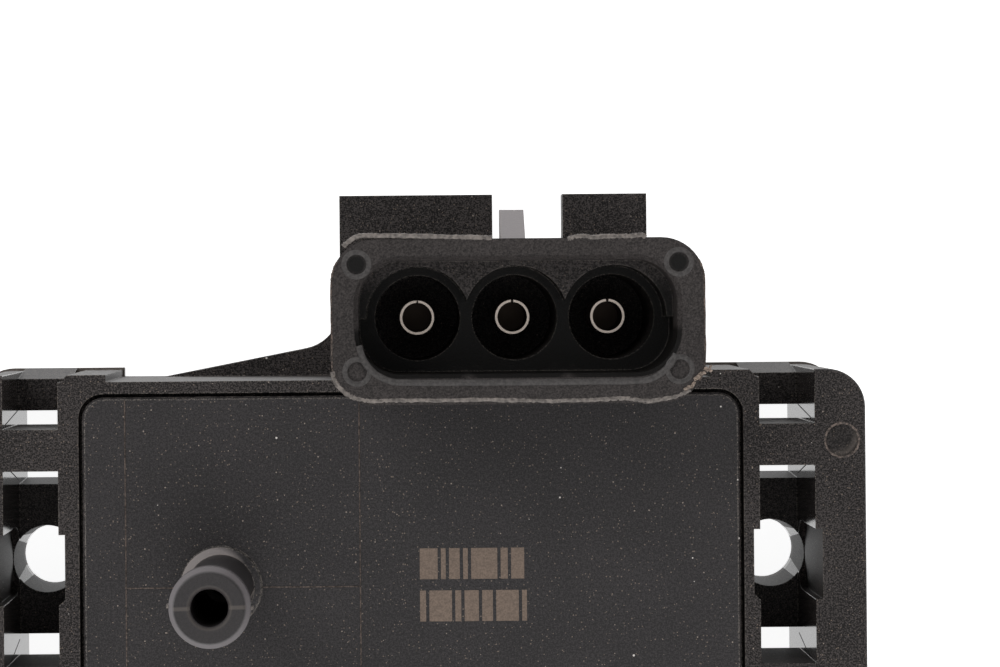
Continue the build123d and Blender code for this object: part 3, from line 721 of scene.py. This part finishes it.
# Painted reflection of the bright backdrop on the latch ramp's sloped face.
LATCH_RAMP_REFLECTION = Spot(
    *LATCH_RAMP, outer=2.2 * MM, colour=srgb(172, 167, 168), low=LATCH_RAMP_HEIGHTS[0],
    high=LATCH_RAMP_HEIGHTS[1], south=LATCH_RAMP_FOOT, share=0.8)
# All painted light and shade on the housing.
HOUSING_PAINTED_SHADING = (*EAR_MARK_SHADE_AND_GLINT, REAR_LIP_HIGHLIGHT, *RIM_MARK_SHADE, *MOUTH_PAINTED_SHADE, LATCH_RAMP_REFLECTION)
EAR_WINDOWS = Windows(near=29.45 * MM, far=34.2 * MM, roughness=0.13)

# Painted highlights on the nipple: its end face, the brink of its bore, the barb's edge and the lit
# side of the root collar.
COVER_PAINTED_HIGHLIGHTS = (
    Spot(*NIPPLE_AXIS, outer=3.0 * MM, colour=srgb(66, 63, 63), low=NIPPLE_END, share=0.25),
    Spot(*NIPPLE_AXIS, outer=1.85 * MM, inner=1.5 * MM, colour=LIT_PLASTIC, low=NIPPLE_BRINK,
         share=0.3, soft=0.15 * MM),
    Spot(*NIPPLE_AXIS, outer=3.35 * MM, inner=2.8 * MM, colour=srgb(128, 122, 124),
         low=NIPPLE_BARB, share=0.6, soft=0.15 * MM),
    Spot(*NIPPLE_GLINT, outer=3.1 * MM, colour=srgb(158, 150, 148), low=NIPPLE_ROOT[0],
         high=NIPPLE_ROOT[1], soft=0.6 * MM, share=0.75),
)
# The parting line across the nipple's end face, drawn as a painted highlight where its ridge
# catches the light.
COVER_LIT_PARTING_LINE = PartingLine(*NIPPLE_AXIS, slope=0.02, half=0.2 * MM, low=NIPPLE_END,
                         colour=LIT_PLASTIC, share=0.4)
# Painted shade inside each terminal's hollow tube.
TERMINAL_BORE_SHADE = tuple(
    Spot(x, y, outer=1.25 * MM, colour=srgb(44, 38, 34), soft=0.02 * MM)
    for x, y in TERMINAL_AXES)
PLASTIC_FLECKS = (
    Fleck(scale=3400.0, share=0.85, radius=0.2, colour=srgb(118, 106, 96)),
    Fleck(scale=1700.0, share=0.3, radius=0.11, colour=srgb(156, 144, 134)),
    Fleck(scale=800.0, share=0.25, radius=0.075, colour=srgb(226, 220, 214)),
)

FINISHES: dict[Slot, Finish] = {
    Slot.HOUSING: Finish(
        "grained_housing_plastic", srgb(58, 54, 53), roughness=0.55, specular=0.2, mottle=0.75,
        pit_low=0.42, pit_high=0.6, fine_scale=7600.0, coarse_scale=3800.0, coarse_share=0.35,
        grain_depth=0.00006, grain_strength=0.8, flecks=PLASTIC_FLECKS, edge_radius=0.00016,
        edge_light=0.5, wall_roughness=0.46, wall_calm=0.15, painted_shading=HOUSING_PAINTED_SHADING,
        windows=EAR_WINDOWS, front_top=26.0 * MM, front_soft=6.0 * MM),
    Slot.COVER: Finish(
        "fine_cover_plastic", srgb(46, 43, 44), roughness=0.52, specular=0.4, mottle=0.5,
        pit_low=0.42, pit_high=0.6, fine_scale=8200.0, coarse_scale=4200.0, grain_depth=0.00004,
        grain_strength=0.7, flecks=PLASTIC_FLECKS, edge_radius=0.0002, edge_light=0.9,
        wall_roughness=0.4, wall_calm=0.5, painted_shading=COVER_PAINTED_HIGHLIGHTS, line=COVER_LIT_PARTING_LINE,
        front_top=21.0 * MM),
    Slot.TERMINAL: Finish(
        "tinned_terminal", srgb(236, 222, 210), roughness=0.34, metallic=1.0, mottle=0.08,
        grain_depth=0.000006, grain_strength=0.3, edge_radius=0.00004, painted_shading=TERMINAL_BORE_SHADE),
    Slot.BOARD: Finish(
        "fired_ceramic", srgb(232, 228, 214), roughness=0.6, mottle=0.04, grain_depth=0.000008),
    Slot.SEALANT: Finish(
        "cured_sealant", srgb(120, 122, 124), roughness=0.45, mottle=0.08, coarse_scale=900.0,
        grain_depth=0.00003),
    Slot.CELL: Finish("cell_moulding", srgb(178, 172, 160), roughness=0.45, mottle=0.06),
    Slot.DIE_GLASS: Finish(
        "ground_die_glass", srgb(206, 224, 220), roughness=0.3, transmission=0.6, ior=1.47,
        mottle=0.03, grain_depth=0.000004),
    Slot.SILICON: Finish(
        "polished_silicon", srgb(96, 104, 122), roughness=0.12, metallic=0.6, mottle=0.05,
        grain_depth=0.000001),
    Slot.GEL: Finish(
        "clear_gel", srgb(226, 232, 236), roughness=0.12, transmission=0.9, ior=1.41, mottle=0.02,
        coarse_scale=500.0, grain_depth=0.00001),
    Slot.LEAD: Finish(
        "tinned_lead", srgb(208, 204, 196), roughness=0.35, metallic=1.0, mottle=0.06,
        grain_depth=0.000005, edge_radius=0.00003),
    Slot.WIRE: Finish(
        "drawn_wire", srgb(226, 224, 220), roughness=0.25, metallic=1.0, mottle=0.04,
        grain_depth=0.000001),
    Slot.RING: Finish(
        "seal_rubber", srgb(38, 38, 38), roughness=0.6, mottle=0.12, grain_depth=0.00001),
    Slot.CHIP: Finish(
        "chip_moulding", srgb(44, 44, 47), roughness=0.55, mottle=0.12, grain_depth=0.00001,
        edge_radius=0.00005),
    Slot.CAPACITOR: Finish("capacitor_ceramic", srgb(166, 132, 98), roughness=0.5, mottle=0.08),
    Slot.RESISTOR: Finish("printed_resistor", srgb(46, 46, 50), roughness=0.4, mottle=0.1),
    Slot.SOLDER: Finish(
        "reflowed_solder", srgb(196, 196, 198), roughness=0.3, metallic=1.0, mottle=0.06,
        coarse_scale=1200.0, grain_depth=0.00002),
}
MARK_FINISH = Finish(
    "laser_etched_mark", srgb(118, 102, 90), roughness=0.62, mottle=0.25, fine_scale=6500.0,
    grain_depth=0.00003, grain_strength=0.8)
# Thin raised lines and edges (witness lines, the rim's sharp edge, the ear mark's burr) are drawn
# much lighter than their plastic: a painted highlight on top of their geometry.
LIT_LINE_FINISH = Finish(
    "lit_raised_line", srgb(100, 88, 81), roughness=0.55, mottle=0.6, pit_low=0.42,
    pit_high=0.6, fine_scale=5200.0, coarse_scale=1900.0, grain_depth=0.00003)
FLASH_FINISH = Finish(
    "thin_moulding_flash", srgb(116, 109, 104), roughness=0.45, mottle=0.45, fine_scale=3500.0,
    grain_depth=0.00004)
# The mouth's lip and the rim marks' rings are a little lighter than the housing: a painted
# highlight on top of their rounded shape.
LIT_LIP_FINISH = Finish(
    "lit_rounded_lip_plastic", srgb(68, 65, 64), roughness=0.5, specular=0.4, mottle=0.3,
    fine_scale=5200.0, grain_depth=0.00002)
TORN_FINISH = Finish(
    "torn_flash_flakes", srgb(150, 134, 122), roughness=0.5, mottle=0.4, fine_scale=3500.0,
    grain_depth=0.00005)
SEAM_FINISH = Finish("dark_tool_seam", srgb(24, 22, 21), roughness=0.6, mottle=0.2)


class Wardrobe:
    """Builds each finish once and hands its material out."""

    def __init__(self) -> None:
        """Build the shared groups and all the materials."""
        self.groups = Groups()
        self.materials = {slot: finish.build(self.groups) for slot, finish in FINISHES.items()}
        self.mark = MARK_FINISH.build(self.groups)
        # Painted highlight on thin raised lines and edges.
        self.line = LIT_LINE_FINISH.build(self.groups)
        self.flash = FLASH_FINISH.build(self.groups)
        self.seam = SEAM_FINISH.build(self.groups)
        # Painted highlight on the mouth's lip and the rim marks' rings.
        self.lip = LIT_LIP_FINISH.build(self.groups)
        self.torn = TORN_FINISH.build(self.groups)

    @staticmethod
    def dress(piece: bpy.types.Object, material: bpy.types.Material) -> None:
        """Give a piece one material and no other."""
        piece.data.materials.clear()
        piece.data.materials.append(material)


# Modelling by hand
def deselect_all() -> None:
    """Leave nothing selected in object mode."""
    if bpy.context.mode != "OBJECT":
        bpy.ops.object.mode_set(mode="OBJECT")
    bpy.ops.object.select_all(action="DESELECT")


def named(piece: bpy.types.Object, name: str) -> bpy.types.Object:
    """Give a piece and its mesh one name.

    Args:
        piece: The piece.
        name: The name.

    Returns:
        The piece.
    """
    piece.name = name
    piece.data.name = name
    return piece


def set_in_place(size: Sequence[float] = (1.0, 1.0, 1.0)) -> bpy.types.Object:
    """Scale the newest piece and move its place into its mesh.

    Args:
        size: Scale along each axis.

    Returns:
        The piece.
    """
    piece = bpy.context.object
    piece.scale = size
    bpy.ops.object.transform_apply(location=True, rotation=True, scale=True)
    return piece


def box_between(name: str, low: Sequence[float], high: Sequence[float]) -> bpy.types.Object:
    """Add a box between two corners, with its place in its mesh.

    Args:
        name: The piece's name.
        low: Lowest corner.
        high: Highest corner.

    Returns:
        The box.
    """
    deselect_all()
    middle = [(a + b) / 2 for a, b in zip(low, high)]
    size = [b - a for a, b in zip(low, high)]
    bpy.ops.mesh.primitive_cube_add(size=1.0, location=middle)
    return named(set_in_place(size), name)


def strut(name: str, start: Sequence[float], end: Sequence[float], width: float,
          thickness: float) -> bpy.types.Object:
    """Add a thin straight bar between two places.

    Args:
        name: The piece's name.
        start: One end.
        end: The other end.
        width: Its size across.
        thickness: Its other size across.

    Returns:
        The bar.
    """
    deselect_all()
    along = Vector(end) - Vector(start)
    middle = (Vector(end) + Vector(start)) / 2
    turn = along.to_track_quat("Z", "X").to_euler()
    bpy.ops.mesh.primitive_cube_add(size=1.0, location=middle, rotation=turn)
    return named(set_in_place((width, thickness, along.length)), name)


def rounded_band(name: str, middle: Sequence[float], size: Sequence[float], radius: float,
                 width: float, height: float) -> bpy.types.Object:
    """Add a low band that follows a rounded rectangle from inside its outline.

    Args:
        name: The piece's name.
        middle: Centre of its foot.
        size: Length and height of the outline.
        radius: Radius of the corners.
        width: The band's own width.
        height: How far it stands up.

    Returns:
        The band.
    """
    deselect_all()
    bpy.ops.mesh.primitive_plane_add(size=1.0, location=middle)
    piece = named(set_in_place((size[0], size[1], 1.0)), name)
    bpy.ops.object.mode_set(mode="EDIT")
    bpy.ops.mesh.select_all(action="SELECT")
    bpy.ops.mesh.bevel(
        offset_type="OFFSET", offset=radius, segments=BAND_CORNER_STEPS, affect="VERTICES")
    bpy.ops.mesh.select_all(action="SELECT")
    bpy.ops.mesh.inset(thickness=width, depth=0.0)
    bpy.ops.mesh.delete(type="FACE")
    bpy.ops.mesh.select_all(action="SELECT")
    bpy.ops.mesh.subdivide(number_cuts=BAND_CUTS)
    bpy.ops.mesh.extrude_region_move(TRANSFORM_OT_translate={"value": (0.0, 0.0, height)})
    bpy.ops.mesh.select_all(action="SELECT")
    bpy.ops.mesh.normals_make_consistent(inside=False)
    deselect_all()
    return piece


def bead(name: str, path: Sequence[tuple[float, float]], level: float, radius: float,
         height: float) -> bpy.types.Object:
    """Lay a low round bead along a smooth path on a level face.

    Args:
        name: The piece's name.
        path: X and Y of the places that the bead runs through.
        level: Height of the face.
        radius: Half of the bead's width.
        height: How far it stands up.

    Returns:
        The bead.
    """
    deselect_all()
    bpy.ops.curve.primitive_bezier_curve_add()
    piece = bpy.context.object
    piece.data.splines.clear()
    spline = piece.data.splines.new("BEZIER")
    spline.bezier_points.add(len(path) - 1)
    for point, (x, y) in zip(spline.bezier_points, path):
        point.co = (x, y, level)
        point.handle_left_type = "AUTO"
        point.handle_right_type = "AUTO"
    spline.resolution_u = BEAD_STEPS
    piece.data.bevel_depth = radius
    piece.data.bevel_resolution = BEAD_ROUNDING
    piece.data.use_fill_caps = True
    bpy.ops.object.convert(target="MESH")
    piece = named(bpy.context.object, name)
    flatten(piece, level, height / radius)
    return piece


def ring(name: str, middle: Sequence[float], radius: float, half_width: float,
         height: float) -> bpy.types.Object:
    """Lay a low round ring on a level face.

    Args:
        name: The piece's name.
        middle: Centre of the ring, at the height of the face.
        radius: From the centre to the middle of the ring.
        half_width: Half of the ring's own width.
        height: How far it stands up.

    Returns:
        The ring.
    """
    deselect_all()
    bpy.ops.mesh.primitive_torus_add(
        location=middle, major_radius=radius, minor_radius=half_width,
        major_segments=RING_STEPS, minor_segments=RING_SIDES)
    piece = named(set_in_place(), name)
    flatten(piece, middle[2], height / half_width)
    return piece


def select_where(piece: bpy.types.Object, test: Callable[[Vector], bool]) -> None:
    """Select the vertices that pass a test, in edit mode.

    Args:
        piece: The piece, which is left in edit mode.
        test: Says of a place whether it is wanted.
    """
    bpy.context.view_layer.objects.active = piece
    if bpy.context.mode != "EDIT_MESH":
        bpy.ops.object.mode_set(mode="EDIT")
    bpy.ops.mesh.select_mode(type="VERT")
    bpy.ops.mesh.select_all(action="DESELECT")
    mesh = bmesh.from_edit_mesh(piece.data)
    for vertex in mesh.verts:
        vertex.select = test(vertex.co)
    mesh.select_flush(True)
    bmesh.update_edit_mesh(piece.data)


def everywhere(place: Vector) -> bool:
    """The test that every place passes."""
    return True


def flatten(piece: bpy.types.Object, level: float, share: float) -> None:
    """Squeeze a piece towards a level.

    Args:
        piece: The piece.
        level: The height that stays in place.
        share: How much of the piece's height is left.
    """
    select_where(piece, everywhere)
    bpy.ops.transform.resize(value=(1.0, 1.0, share), center_override=(0.0, 0.0, level))
    deselect_all()


def roughen(piece: bpy.types.Object, offset: float, uniform: float, seed: int,
            test: Callable[[Vector], bool] = everywhere) -> None:
    """Shake vertices of a piece, so that it looks torn and not drawn.

    Args:
        piece: The piece.
        offset: How far they move.
        uniform: How much of the step is the same for all.
        seed: Start of the random draws.
        test: Says of a place whether it moves.
    """
    select_where(piece, test)
    bpy.ops.transform.vertex_random(offset=offset, uniform=uniform, normal=0.0, seed=seed)
    deselect_all()


def join(pieces: Sequence[bpy.types.Object], name: str) -> bpy.types.Object:
    """Join pieces into one object.

    Args:
        pieces: The pieces, of which the first is kept.
        name: The joined piece's name.

    Returns:
        The joined piece.
    """
    deselect_all()
    for piece in pieces:
        piece.select_set(True)
    bpy.context.view_layer.objects.active = pieces[0]
    if len(pieces) > 1:
        bpy.ops.object.join()
    return named(pieces[0], name)


@dataclass
class SubAssembly:
    """What every dressed group of pieces shares."""

    wardrobe: Wardrobe

    def settle(self, piece: bpy.types.Object, slot: Slot, material: bpy.types.Material) -> None:
        """Dress a new piece and let it ride on the part.

        Args:
            piece: The piece.
            slot: The record's slot that it belongs to; not used.
            material: The finish that it wears.
        """
        self.wardrobe.dress(piece, material)
        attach(piece, BODY)
        LOG.info("made %s with %d faces", piece.name, len(piece.data.polygons))


@dataclass
class CarriedNodes(SubAssembly):
    """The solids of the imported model, which keep their shape and get their finish."""

    def build(self) -> None:
        """Give every node the material of its slot."""
        slots = {row["node"]: Slot(row["material_slot"]) for row in frame["record"]["subparts"]}
        for name, node in sorted(frame["nodes"].items()):
            self.wardrobe.dress(node, self.wardrobe.materials[slots[name]])
            LOG.info("dressed %s as %s", name, slots[name].value)


@dataclass
class CoverFace(SubAssembly):
    """What the cover's face carries: lines left by the mould's inserts and the etched mark."""

    line_width: float = 0.09 * MM
    line_height: float = 0.03 * MM
    line_left: float = -23.85 * MM
    line_middle: float = -4.15 * MM
    line_level: float = -1.55 * MM
    line_end_gap: float = 0.3 * MM
    line_ragged: float = 0.012 * MM
    line_uniform: float = 0.2
    line_seed: int = 3
    mark_height: float = 0.012 * MM
    mark_left: float = 0.85 * MM
    mark_row_tops: tuple[float, float] = (1.6 * MM, -1.95 * MM)
    mark_row_height: float = 2.6 * MM
    mark_bars: tuple[tuple[float, ...], tuple[float, ...]] = (
        (1.5, 0.4, 0.9, 0.4, 2.2, 0.6, 1.1), (0.5, 1.9, 0.5, 1.2, 0.9, 1.9, 0.4))
    mark_gap: float = 0.28 * MM
    top: float = FACE_HEIGHT

    def build(self) -> None:
        """Make the lines and the mark."""
        low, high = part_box("cover")
        self.make_lines(low, high)
        self.make_mark()

    def ridge(self, start: Sequence[float], end: Sequence[float]) -> bpy.types.Object:
        """Make one thin raised line between two places on the face.

        Args:
            start: X and Y of one end.
            end: X and Y of the other end.

        Returns:
            The line.
        """
        half = self.line_width / 2
        left, right = sorted((start[0], end[0]))
        lower, upper = sorted((start[1], end[1]))
        piece = box_between("line", (left - half, lower - half, self.top),
                            (right + half, upper + half, self.top + self.line_height))
        select_where(piece, everywhere)
        bpy.ops.mesh.subdivide(number_cuts=LINE_CUTS)
        roughen(piece, self.line_ragged, self.line_uniform, self.line_seed,
                lambda place: place.z > self.top + self.line_height / 2)
        return piece

    def make_lines(self, low: Vector, high: Vector) -> None:
        """Make the two upright lines and the level one between them.

        Args:
            low: The cover's lowest corner.
            high: Its highest corner.
        """
        upper = high.y - self.line_end_gap
        lower = low.y + self.line_end_gap
        lines = [
            self.ridge((self.line_left, lower), (self.line_left, upper)),
            self.ridge((self.line_middle, lower), (self.line_middle, upper)),
            self.ridge((self.line_left, self.line_level), (self.line_middle, self.line_level)),
        ]
        self.settle(join(lines, "cover_insert_lines"), Slot.COVER, self.wardrobe.line)

    def make_mark(self) -> None:
        """Make the two rows of plain etched bars."""
        bars = []
        for top, widths in zip(self.mark_row_tops, self.mark_bars):
            x = self.mark_left
            for width in widths:
                bars.append(box_between(
                    "bar", (x, top - self.mark_row_height, self.top),
                    (x + width * MM, top, self.top + self.mark_height)))
                x += width * MM + self.mark_gap
        self.settle(join(bars, "etched_mark"), Slot.COVER, self.wardrobe.mark)


@dataclass
class SocketRim(SubAssembly):
    """What the mould leaves on the socket's rim: flash, a rounded lip, rings and a torn corner."""

    face: float = RIM_FACE
    middle: tuple[float, float, float] = (8.8 * MM, 20.75 * MM, 33.45 * MM)
    size: tuple[float, float] = (30.06 * MM, 13.36 * MM)
    radius: float = 3.52 * MM
    width: float = 0.12 * MM
    height: float = 0.07 * MM
    ragged: float = 0.05 * MM
    uniform: float = 0.6
    edge_uniform: float = 0.5
    edge_seed: int = 7
    upper_flash: tuple[tuple[tuple[float, float], ...], ...] = (
        ((-5.15, 26.85), (-4.85, 27.15), (-4.14, 27.6), (-3.5, 27.72), (-2.62, 27.7),
         (-0.61, 27.68), (1.79, 27.6), (4.2, 27.52), (5.8, 27.48), (6.76, 27.42)),
        ((12.85, 27.3), (13.25, 27.42), (13.73, 27.52), (14.29, 27.5), (14.77, 27.42),
         (15.82, 27.48), (17.02, 27.48), (18.3, 27.52), (18.7, 27.58), (19.1, 27.4)))
    lower_flash: tuple[tuple[float, float], ...] = (
        (-6.1, 16.81), (-5.92, 16.09), (-5.4, 15.42), (-4.8, 14.93), (-4.09, 14.63), (-2.97, 14.45),
        (-1.13, 14.5), (0.47, 14.46), (2.48, 14.46), (5.68, 14.47), (8.49, 14.41), (10.89, 14.33),
        (13.3, 14.37), (15.3, 14.4), (17.3, 14.5), (18.91, 14.29), (20.51, 14.43), (21.71, 14.72),
        (22.52, 15.15))
    flash_half: float = 0.2 * MM
    flash_height: float = 0.1 * MM
    lip: tuple[tuple[float, float], ...] = (
        (-4.0, 18.9), (-3.62, 17.75), (-3.05, 16.95), (-2.2, 16.3), (-1.3, 15.98), (-0.31, 15.9),
        (3.29, 15.86), (8.5, 15.84), (12.11, 15.84), (15.31, 15.86), (18.12, 15.88), (19.3, 16.0),
        (20.2, 16.45), (20.9, 17.1), (21.45, 18.0))
    lip_half: float = 0.3 * MM
    lip_height: float = 0.16 * MM
    lip_sink: float = 0.16 / 3 * MM
    mark_radius: float = 1.0 * MM
    mark_half: float = 0.2 * MM
    mark_height: float = 0.05 * MM
    torn: tuple[tuple[float, float, float, float], ...] = (
        (22.4, 15.3, 0.42, 20.0), (22.8, 15.65, 0.34, 70.0), (23.15, 16.1, 0.4, 35.0),
        (23.5, 16.45, 0.34, 10.0), (23.95, 16.75, 0.36, -25.0), (24.2, 16.95, 0.2, 50.0))
    torn_flat: float = 0.4
    torn_ragged: float = 0.1 * MM

    def build(self) -> None:
        """Make each kind of trace."""
        self.make_edge()
        self.make_flash()
        self.make_lip()
        self.make_rings()
        self.make_torn_corner()

    def make_edge(self) -> None:
        """Make the thin sharp edge along the rim's sides."""
        piece = rounded_band(
            "rim_edge", self.middle, self.size, self.radius, self.width, self.height)
        select_where(piece, self.is_clean)
        bpy.ops.mesh.delete(type="VERT")
        roughen(piece, self.ragged, self.edge_uniform, self.edge_seed,
                lambda place: place.z > self.middle[2] + self.height / 2)
        self.settle(piece, Slot.HOUSING, self.wardrobe.line)

    def is_clean(self, place: Vector) -> bool:
        """Whether a place lies on the rim's upper or lower side, which have no thin edge."""
        return abs(place.y - self.middle[1]) > self.size[1] / 2 - self.radius / 2

    def make_flash(self) -> None:
        """Make the frayed beads above and below."""
        beads = []
        for seed, path in enumerate((*self.upper_flash, self.lower_flash), start=1):
            places = [(x * MM, y * MM) for x, y in path]
            piece = bead("flash", places, self.face - self.flash_height / 2, self.flash_half,
                         self.flash_height)
            roughen(piece, self.ragged, self.uniform, seed)
            beads.append(piece)
        self.settle(join(beads, "rim_flash"), Slot.HOUSING, self.wardrobe.flash)

    def make_lip(self) -> None:
        """Make the rounded lip under the mouth."""
        places = [(x * MM, y * MM) for x, y in self.lip]
        piece = bead("mouth_lip", places, self.face - self.lip_sink, self.lip_half, self.lip_height)
        self.settle(piece, Slot.HOUSING, self.wardrobe.lip)

    def make_rings(self) -> None:
        """Make the raised ring round each of the four marks."""
        rings = [ring("ring", (x, y, self.face), self.mark_radius, self.mark_half, self.mark_height)
                 for x, y in RIM_MARK_AXES]
        self.settle(join(rings, "rim_mark_rings"), Slot.HOUSING, self.wardrobe.lip)

    def make_torn_corner(self) -> None:
        """Make the flakes of torn flash at the lower right corner."""
        flakes = []
        for seed, (x, y, size, turn) in enumerate(self.torn, start=1):
            deselect_all()
            bpy.ops.mesh.primitive_ico_sphere_add(
                subdivisions=2, radius=size * MM, location=(x * MM, y * MM, self.face),
                rotation=(math.radians(turn), math.radians(turn / 2), math.radians(turn)))
            flake = set_in_place((1.0, self.torn_flat, self.torn_flat))
            roughen(flake, self.torn_ragged, self.uniform, seed)
            flakes.append(flake)
        self.settle(join(flakes, "torn_flash"), Slot.HOUSING, self.wardrobe.torn)


@dataclass
class NippleParting(SubAssembly):
    """The parting fins where the two halves of the nipple's mould met."""

    axis: tuple[float, float] = NIPPLE_AXIS
    fins: tuple[tuple[float, float, float, float], ...] = (
        (2.76, 21.0, 36.2, 2.86), (3.2, 37.6, 38.8, 3.42))
    thickness: float = 0.26 * MM
    sag: float = 0.1 * MM

    def build(self) -> None:
        """Make a left and a right fin on the neck and on the barb."""
        pieces = []
        for inner, low, high, outer in self.fins:
            for side in (-1, 1):
                near = self.axis[0] + side * inner * MM
                far = self.axis[0] + side * outer * MM
                level = self.axis[1] - side * self.sag
                pieces.append(box_between(
                    "fin", (min(near, far), level - self.thickness / 2, low * MM),
                    (max(near, far), level + self.thickness / 2, high * MM)))
        self.settle(join(pieces, "nipple_parting_fins"), Slot.COVER, self.wardrobe.flash)


@dataclass
class EarSeams(SubAssembly):
    """The slanted seams on the ears' walls, where the mould's two halves shut off in the slits."""

    wall: float = 34.15 * MM
    seams: tuple[tuple[tuple[float, float], tuple[float, float]], ...] = (
        ((13.05, 8.0), (12.0, 19.9)), ((7.0, 7.6), (8.25, 15.0)))
    width: float = 0.09 * MM
    proud: float = 0.03 * MM

    def build(self) -> None:
        """Make every seam on both walls and both sides of the screw axis."""
        pieces = []
        for side in (-1, 1):
            for half in (-1, 1):
                for start, end in self.seams:
                    ends = [(side * self.wall, half * y * MM, z * MM) for y, z in (start, end)]
                    pieces.append(strut("seam", *ends, self.width, self.proud))
        self.settle(join(pieces, "ear_shut_off_seams"), Slot.HOUSING, self.wardrobe.seam)


@dataclass
class EarMark(SubAssembly):
    """The fine burr round the mark that an ejector pin left on the right ear."""

    radius: float = 1.43 * MM
    half_width: float = 0.09 * MM
    height: float = 0.03 * MM
    ragged: float = 0.03 * MM
    uniform: float = 0.6
    seed: int = 11

    def build(self) -> None:
        """Make the burr."""
        middle = (*EAR_MARK_AXIS, FACE_HEIGHT)
        piece = ring("ear_mark_burr", middle, self.radius, self.half_width, self.height)
        roughen(piece, self.ragged, self.uniform, self.seed)
        self.settle(piece, Slot.HOUSING, self.wardrobe.line)


@dataclass
class Studio:
    """The floor, the lamps, the sky and the camera."""

    floor_half: float = 1.5
    floor_colour: Colour = (0.86, 0.86, 0.86)
    floor_glow: float = 0.93
    sky_low: float = 0.85
    sky_high: float = 0.4
    key_place: tuple[float, float, float] = (-0.45, 0.42, 0.5)
    key_size: float = 0.5
    key_power: float = 1.8
    fill_place: tuple[float, float, float] = (0.12, -0.45, 0.62)
    fill_size: float = 0.9
    fill_power: float = 2.4
    camera_foot: tuple[float, float] = (-1.45 * MM, 23.34 * MM)
    camera_height: float = 310.0 * MM
    shift: tuple[float, float] = (0.11, -0.0435)
    roll_degrees: float = 0.5
    focal_pixels: float = 3450.0
    image_width: int = 1000
    sensor_mm: float = 36.0
    nearest: float = 0.01
    sky_turn: tuple[float, float] = (0.3, 0.95)

    def build(self) -> None:
        """Set up everything round the object."""
        self.make_floor()
        self.make_sky()
        self.lamp("key_lamp", self.key_place, self.key_size, self.key_power)
        self.lamp("fill_lamp", self.fill_place, self.fill_size, self.fill_power)
        self.make_camera()
        bpy.context.scene.view_settings.view_transform = "Standard"

    def make_floor(self) -> None:
        """A floor that the camera and shiny surfaces see as white, with the object's shadow."""
        deselect_all()
        bpy.ops.mesh.primitive_plane_add(size=2 * self.floor_half)
        floor = bpy.context.object
        floor.name = "floor"
        material = bpy.data.materials.new("pale_floor")
        material.use_nodes = True
        tree = Tree(material.node_tree)
        out = tree.add("OutputMaterial")
        matt = tree.add("BsdfDiffuse")
        matt.inputs["Color"].default_value = (*self.floor_colour, 1.0)
        seen = self.seen_rays(tree)
        glow = tree.add("Emission")
        tree.link(tree.math("MULTIPLY", seen, self.floor_glow), glow.inputs["Strength"])
        both = tree.add("AddShader")
        tree.link(matt.outputs[0], both.inputs[0])
        tree.link(glow.outputs[0], both.inputs[1])
        tree.link(both.outputs[0], out.inputs["Surface"])
        floor.data.materials.append(material)

    @staticmethod
    def seen_rays(tree: Tree) -> bpy.types.NodeSocket:
        """Tell the rays that look at something, straight, in a reflection or through glass.

        Args:
            tree: The tree that needs the mask.

        Returns:
            A mask that is 1 on such a ray.
        """
        rays = tree.add("LightPath")
        shiny = tree.math(
            "MAXIMUM", rays.outputs["Is Glossy Ray"], rays.outputs["Is Transmission Ray"])
        return tree.math("MAXIMUM", rays.outputs["Is Camera Ray"], shiny)

    def make_sky(self) -> None:
        """Light that is stronger near the horizon, and plain white where the camera sees it."""
        world = bpy.data.worlds.new("soft_sky")
        bpy.context.scene.world = world
        world.use_nodes = True
        tree = Tree(world.node_tree)
        out = tree.add("OutputWorld")
        sky = tree.add("Background")
        rays = tree.add("LightPath")
        parts = tree.split(tree.add("TexCoord").outputs["Generated"])
        level = tree.span(parts["Z"], *self.sky_turn, self.sky_low, self.sky_high)
        strength = tree.math("MAXIMUM", rays.outputs["Is Camera Ray"], level)
        tree.link(strength, sky.inputs["Strength"])
        tree.link(sky.outputs[0], out.inputs["Surface"])

    @staticmethod
    def lamp(name: str, place: Sequence[float], size: float, power: float) -> None:
        """Add a square lamp that faces the object.

        Args:
            name: The lamp's name.
            place: Where it hangs.
            size: Length of its side.
            power: Its power in watts.
        """
        data = bpy.data.lights.new(name, "AREA")
        data.size = size
        data.energy = power
        lamp = bpy.data.objects.new(name, data)
        bpy.context.scene.collection.objects.link(lamp)
        lamp.location = place
        lamp.rotation_euler = (-Vector(place)).to_track_quat("-Z", "Y").to_euler()

    def make_camera(self) -> None:
        """The camera that looks at the cover almost square on, as the photograph does."""
        data = bpy.data.cameras.new("camera")
        data.sensor_width = self.sensor_mm
        data.lens = self.focal_pixels / self.image_width * self.sensor_mm
        data.clip_start = self.nearest
        camera = bpy.data.objects.new("camera", data)
        bpy.context.scene.collection.objects.link(camera)
        data.shift_x, data.shift_y = self.shift
        camera.location = (*self.camera_foot, self.camera_height)
        camera.rotation_euler = (0.0, 0.0, -math.radians(self.roll_degrees))
        bpy.context.scene.camera = camera


def main() -> None:
    """Build the scene in order."""
    logging.basicConfig(level=logging.INFO, format="%(name)s: %(message)s")
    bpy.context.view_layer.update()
    Studio().build()
    wardrobe = Wardrobe()
    CarriedNodes(wardrobe).build()
    CoverFace(wardrobe).build()
    SocketRim(wardrobe).build()
    NippleParting(wardrobe).build()
    EarSeams(wardrobe).build()
    EarMark(wardrobe).build()


if __name__ == "__main__":
    main()
